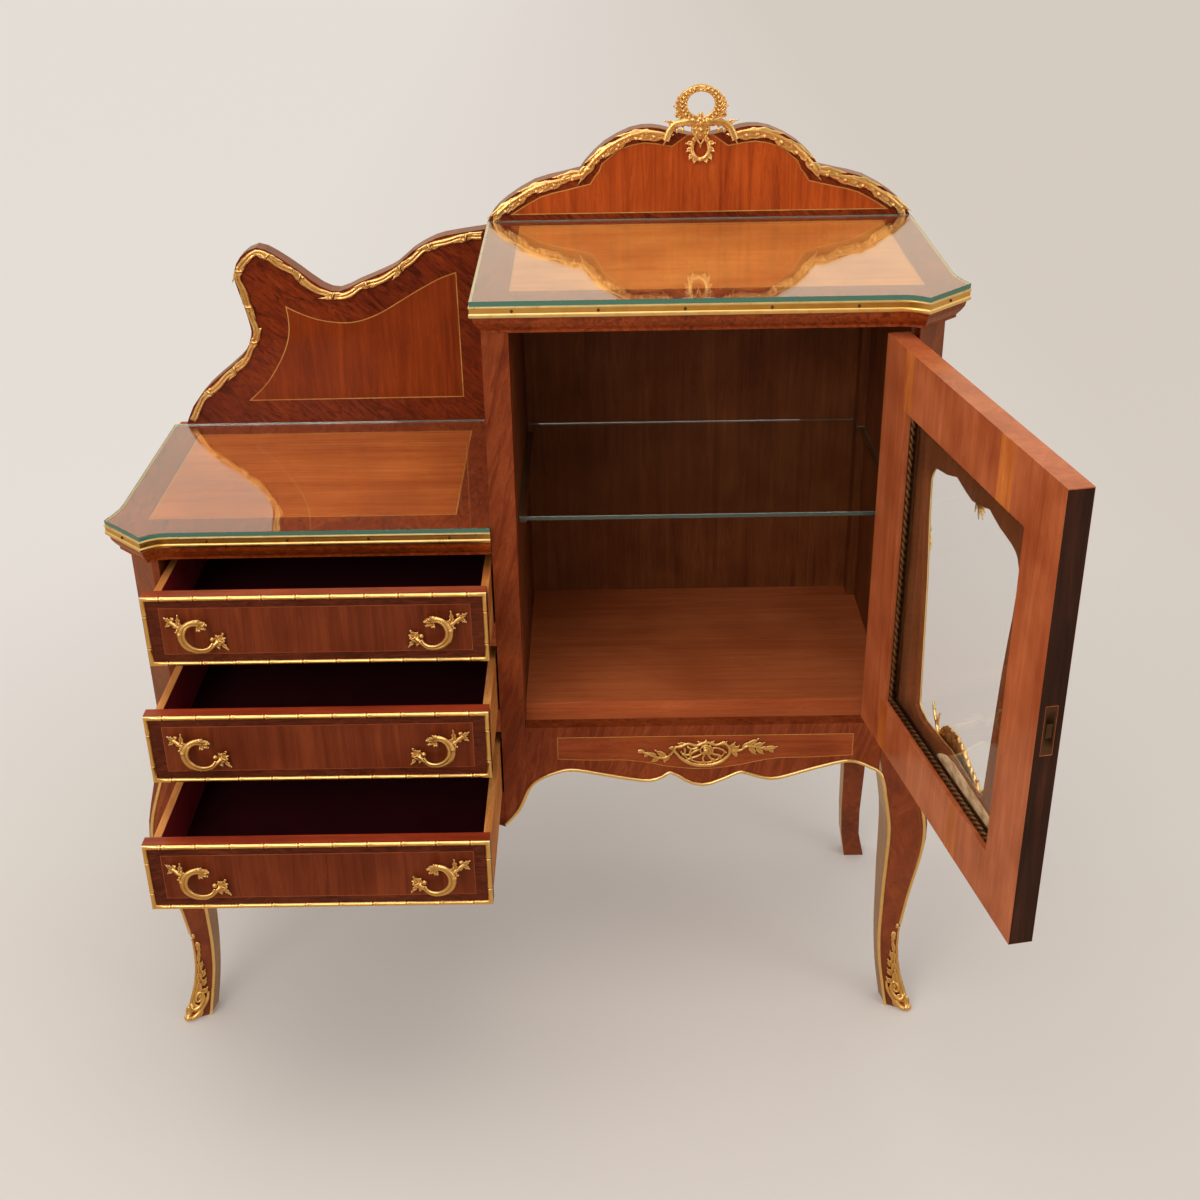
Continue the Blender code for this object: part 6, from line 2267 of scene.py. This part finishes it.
def onShell(right, up, off):
    x, z = shell["middle"]
    return at(x + right * mm, doorDepth["front"] - off * mm, z + up * mm)


rimTop = sorted((x, z) for x, z, share in shell["rim"])


def rimHeight(x):
    for (x0, z0), (x1, z1) in zip(rimTop, rimTop[1:]):
        if x0 <= x <= x1:
            return z0 + (z1 - z0) * (x - x0) / (x1 - x0 + 1e-9)
    return rimTop[0][1] if x < rimTop[0][0] else rimTop[-1][1]


# The web inside the rim, bulged and rayed like a shell
bm = bmesh.new()
grid = []
for i in range(shell["webColumns"] + 1):
    x = shell["webFrom"] + i * shell["webLong"] / shell["webColumns"]
    low, top = shell["webLow"], rimHeight(x)
    ray = math.sin(math.tau * i / shell["rayColumns"])
    column = []
    for j in range(shell["webRows"] + 1):
        share = j / shell["webRows"]
        bulge = 2.2 + 3.2 * math.sin(math.pi * share) * 0.5 + 0.7 * ray * share
        column.append(bm.verts.new(onShell(x, low + (top - low) * share, bulge)))
    grid.append(column)
for one, two in zip(grid, grid[1:]):
    for j in range(shell["webRows"]):
        bm.faces.new((one[j], one[j + 1], two[j + 1], two[j]))
webPiece = objectOf("web", bm)
thicken = webPiece.modifiers.new("thickness", "SOLIDIFY")
thicken.thickness = shell["webThick"] * mm
applyModifiers(webPiece)
rim = [(onShell(x, z, 3.0), share) for x, z, share in shell["rim"]]
parts = [webPiece, bar(rim, shell["rimTube"] * mm)]
for x in range(-74, 60, 11):
    parts.append(knob(onShell(x, rimHeight(x) + 1.2, 3.4), 4.6, 2.6, 3.6))
for *points, radius in shell["stems"]:
    points = [(onShell(*point), 1.0 - 0.06 * i) for i, point in enumerate(points)]
    parts.append(bar(points, radius * mm))
for place, lean, size in shell["leaves"]:
    parts.append(leafAt("toothed", onShell(*place), upright(*lean), outFront, *size, 7))
shellMount = castTogether("door_shell_casting", parts, shell["voxel"], soften=1)
swungOpen(shellMount)
finishPiece(shellMount, giltBrass, "door", ["door_shell_mount"])
# The mount's foot, whose pale colour is painted reflection
foot = [at(x, doorDepth["faceBack"], z) for x, z in shell["foot"]]
swungOpen(veneerField("door_mount_foot", foot, inward, paleBrassReflection, "door", 0.06))

# Leaf drops at the head of the opening and on its hinge side: place on the shut door, lean of
# the whole drop and size, each with five leaves of a lean, a length and a width
dropSpots = ((0.2913, 0.984, 0.0, 1.5), (0.4315, 0.872, -0.15, 1.2))
dropLeaves = ((0.0, 20, 9), (0.75, 15, 7), (-0.75, 15, 7), (0.35, 19, 7), (-0.35, 19, 7))
drops = []
for x, z, slant, size in dropSpots:
    spot = at(x, doorDepth["front"] - 0.002, z)
    for lean, length, width in dropLeaves:
        direction = upright(slant + lean, -1.0)
        drops.append(leafAt("toothed", spot, direction, outFront, length * size, width * size, 7))
    drops.append(ball(spot + Vector((0, -0.001, 0.001)), (5 * mm * size, 2.4 * mm, 4 * mm * size)))
doorDrops = castTogether("door_leaf_drops", drops, shell["voxel"], soften=1)
swungOpen(doorDrops)
finishPiece(doorDrops, giltBrass, "door")
print("door pieces made")


for template in leaves.values():
    bpy.data.objects.remove(template, do_unlink=True)


# Stage

stageSettings = {
    "floorSize": 60.0,
    "floorColour": "#D1CBC5",
    "ambient": 0.78,
    "paperLeft": "#EAE3DC",
    "paperRight": "#D8CEC4",
    "paperInMirrors": "#C0A480",
    "ownLight": (0.12, 0.85),
}
bpy.ops.mesh.primitive_plane_add(size=stageSettings["floorSize"], location=(0, 0, -0.0002))
studioFloor = bpy.context.active_object
studioFloor.name = "studio_floor"
floorMaterial, floorTree, floorShader = newMaterial("matt_paper")
floorShader.inputs["Base Color"].default_value = colour(stageSettings["floorColour"])
floorShader.inputs["Roughness"].default_value = 0.9
floorShader.inputs["Specular IOR Level"].default_value = 0.1
# The paper is seen evenly lit, a little paler on the left, and mirrors see it darker
floorPlace = addNode(floorTree, "ShaderNodeTexCoord").outputs["Object"]
floorAcross = addNode(floorTree, "ShaderNodeSeparateXYZ", links={"Vector": floorPlace}).outputs["X"]
floorShare = addNode(
    floorTree, "ShaderNodeMapRange", {"From Min": -1.2, "From Max": 1.6}, {"Value": floorAcross}
).outputs["Result"]
paperTones = {6: colour(stageSettings["paperLeft"]), 7: colour(stageSettings["paperRight"])}
paper = addNode(
    floorTree, "ShaderNodeMix", paperTones, {0: floorShare}, data_type="RGBA"
).outputs[2]
paperLight = addNode(floorTree, "ShaderNodeEmission", links={"Color": paper})
floorRays = addNode(floorTree, "ShaderNodeLightPath")
floorSeen = addNode(
    floorTree,
    "ShaderNodeMath",
    links={0: floorRays.outputs["Is Camera Ray"], 1: floorRays.outputs["Is Transmission Ray"]},
    operation="MAXIMUM",
).outputs["Value"]
# Near the chest the paper mostly shows the light and shadow that fall on it
floorReach = addNode(
    floorTree, "ShaderNodeVectorMath", links={0: floorPlace}, operation="LENGTH"
).outputs["Value"]
ownLow, ownHigh = stageSettings["ownLight"]
ownLight = addNode(
    floorTree,
    "ShaderNodeMapRange",
    {"From Min": 0.5, "From Max": 2.4, "To Min": ownLow, "To Max": ownHigh},
    {"Value": floorReach},
    interpolation_type="SMOOTHSTEP",
).outputs["Result"]
ownShare = addNode(
    floorTree, "ShaderNodeMath", links={0: floorSeen, 1: ownLight}, operation="MULTIPLY"
).outputs["Value"]
paperMix = addNode(
    floorTree,
    "ShaderNodeMixShader",
    links={0: ownShare, 1: floorShader.outputs["BSDF"], 2: paperLight.outputs["Emission"]},
)
reflected = addNode(
    floorTree,
    "ShaderNodeMath",
    links={0: floorRays.outputs["Is Glossy Ray"], 1: floorRays.outputs["Is Transmission Ray"]},
    operation="SUBTRACT",
    use_clamp=True,
).outputs["Value"]
mirrorPaper = addNode(
    floorTree, "ShaderNodeEmission", {"Color": colour(stageSettings["paperInMirrors"])}
)
paperInMirrors = addNode(
    floorTree,
    "ShaderNodeMixShader",
    links={
        0: reflected,
        1: paperMix.outputs["Shader"],
        2: mirrorPaper.outputs["Emission"],
    },
)
floorTree.links.new(
    paperInMirrors.outputs["Shader"], floorTree.nodes["Material Output"].inputs["Surface"]
)
studioFloor.data.materials.append(floorMaterial)


def softBox(name, place, aim, size, power, tone):
    bpy.ops.object.light_add(type="AREA", location=place)
    lamp = bpy.context.active_object
    lamp.name = name
    lamp.data.shape = "RECTANGLE"
    lamp.data.size, lamp.data.size_y = size
    lamp.data.energy = power
    lamp.data.color = colour(tone)[:3]
    lamp.rotation_euler = (Vector(aim) - Vector(place)).to_track_quat("-Z", "Y").to_euler()
    lamp.visible_camera = False
    return lamp


softBox("overhead_softbox", (-0.3, -0.6, 3.6), (0, 0, 0.5), (3.0, 2.4), 38.0, "#FFF8F0")
softBox("front_softbox", (-1.6, -3.0, 2.6), (0, 0, 0.6), (2.0, 1.6), 44.0, "#FFF6EC")
softBox("right_softbox", (2.8, -1.6, 1.8), (0, 0, 0.6), (1.2, 1.8), 12.0, "#FFFFFF")

world = bpy.data.worlds.new("pale_studio")
bpy.context.scene.world = world
world.use_nodes = True
worldTree = world.node_tree
worldTree.nodes.clear()
sky = addNode(worldTree, "ShaderNodeTexCoord").outputs["Generated"]
skyParts = addNode(worldTree, "ShaderNodeSeparateXYZ", links={"Vector": sky})
# Mirrors see a warm bright wall behind the chest and a dim room in front of it
depthShare = addNode(
    worldTree,
    "ShaderNodeMapRange",
    {"From Min": -0.6, "From Max": 0.6},
    {"Value": skyParts.outputs["Y"]},
).outputs["Result"]
mirrorTone = addNode(
    worldTree,
    "ShaderNodeValToRGB",
    links={"Fac": depthShare},
    stops=((0.0, "#C4AC88"), (0.45, "#DCC49C"), (0.7, "#FFE8C4")),
).outputs["Color"]
ambientLight = addNode(
    worldTree,
    "ShaderNodeBackground",
    {"Color": colour("#FFFCF8"), "Strength": stageSettings["ambient"]},
)
mirrorLight = addNode(worldTree, "ShaderNodeBackground", {"Strength": 1.0}, {"Color": mirrorTone})
paleWall = addNode(worldTree, "ShaderNodeBackground", {"Color": colour("#E2DAD2"), "Strength": 1.0})
rays = addNode(worldTree, "ShaderNodeLightPath")
seen = addNode(
    worldTree,
    "ShaderNodeMath",
    links={0: rays.outputs["Is Camera Ray"], 1: rays.outputs["Is Transmission Ray"]},
    operation="MAXIMUM",
).outputs["Value"]
withMirrors = addNode(
    worldTree,
    "ShaderNodeMixShader",
    links={
        0: rays.outputs["Is Glossy Ray"],
        1: ambientLight.outputs["Background"],
        2: mirrorLight.outputs["Background"],
    },
)
worldMix = addNode(
    worldTree,
    "ShaderNodeMixShader",
    links={0: seen, 1: withMirrors.outputs["Shader"], 2: paleWall.outputs["Background"]},
)
addNode(worldTree, "ShaderNodeOutputWorld", links={"Surface": worldMix.outputs["Shader"]})

# The camera, fitted to the photograph: place from the partition's corner, angles in degrees
cameraSettings = {
    "place": (0.1514, -1.9178, 1.7189),
    "pitch": -27.4031,
    "yaw": 0.2093,
    "roll": -0.9828,
    "lens": 47.38,
    "sensor": 36.0,
}
bpy.ops.object.camera_add(location=at(*cameraSettings["place"]))
camera = bpy.context.active_object
camera.name = "photo_camera"
camera.data.lens = cameraSettings["lens"]
camera.data.sensor_width = cameraSettings["sensor"]
camera.data.clip_start = 0.05
camera.data.clip_end = 200.0
aimTurn = Matrix.Rotation(math.radians(cameraSettings["yaw"]), 3, "Z") @ Matrix.Rotation(
    math.radians(cameraSettings["pitch"]), 3, "X"
)
forward = aimTurn @ Vector((0, 1, 0))
upward = aimTurn @ Vector((0, 0, 1))
rightward = aimTurn @ Vector((1, 0, 0))
roll = math.radians(cameraSettings["roll"])
rolledRight = math.cos(roll) * rightward + math.sin(roll) * upward
rolledUp = -math.sin(roll) * rightward + math.cos(roll) * upward
turn = Matrix((rolledRight, rolledUp, -forward)).transposed()
camera.matrix_world = Matrix.Translation(at(*cameraSettings["place"])) @ turn.to_4x4()
bpy.context.scene.camera = camera
bpy.context.scene.view_settings.view_transform = "Standard"
print("stage and camera set")

bpy.context.view_layer.update()
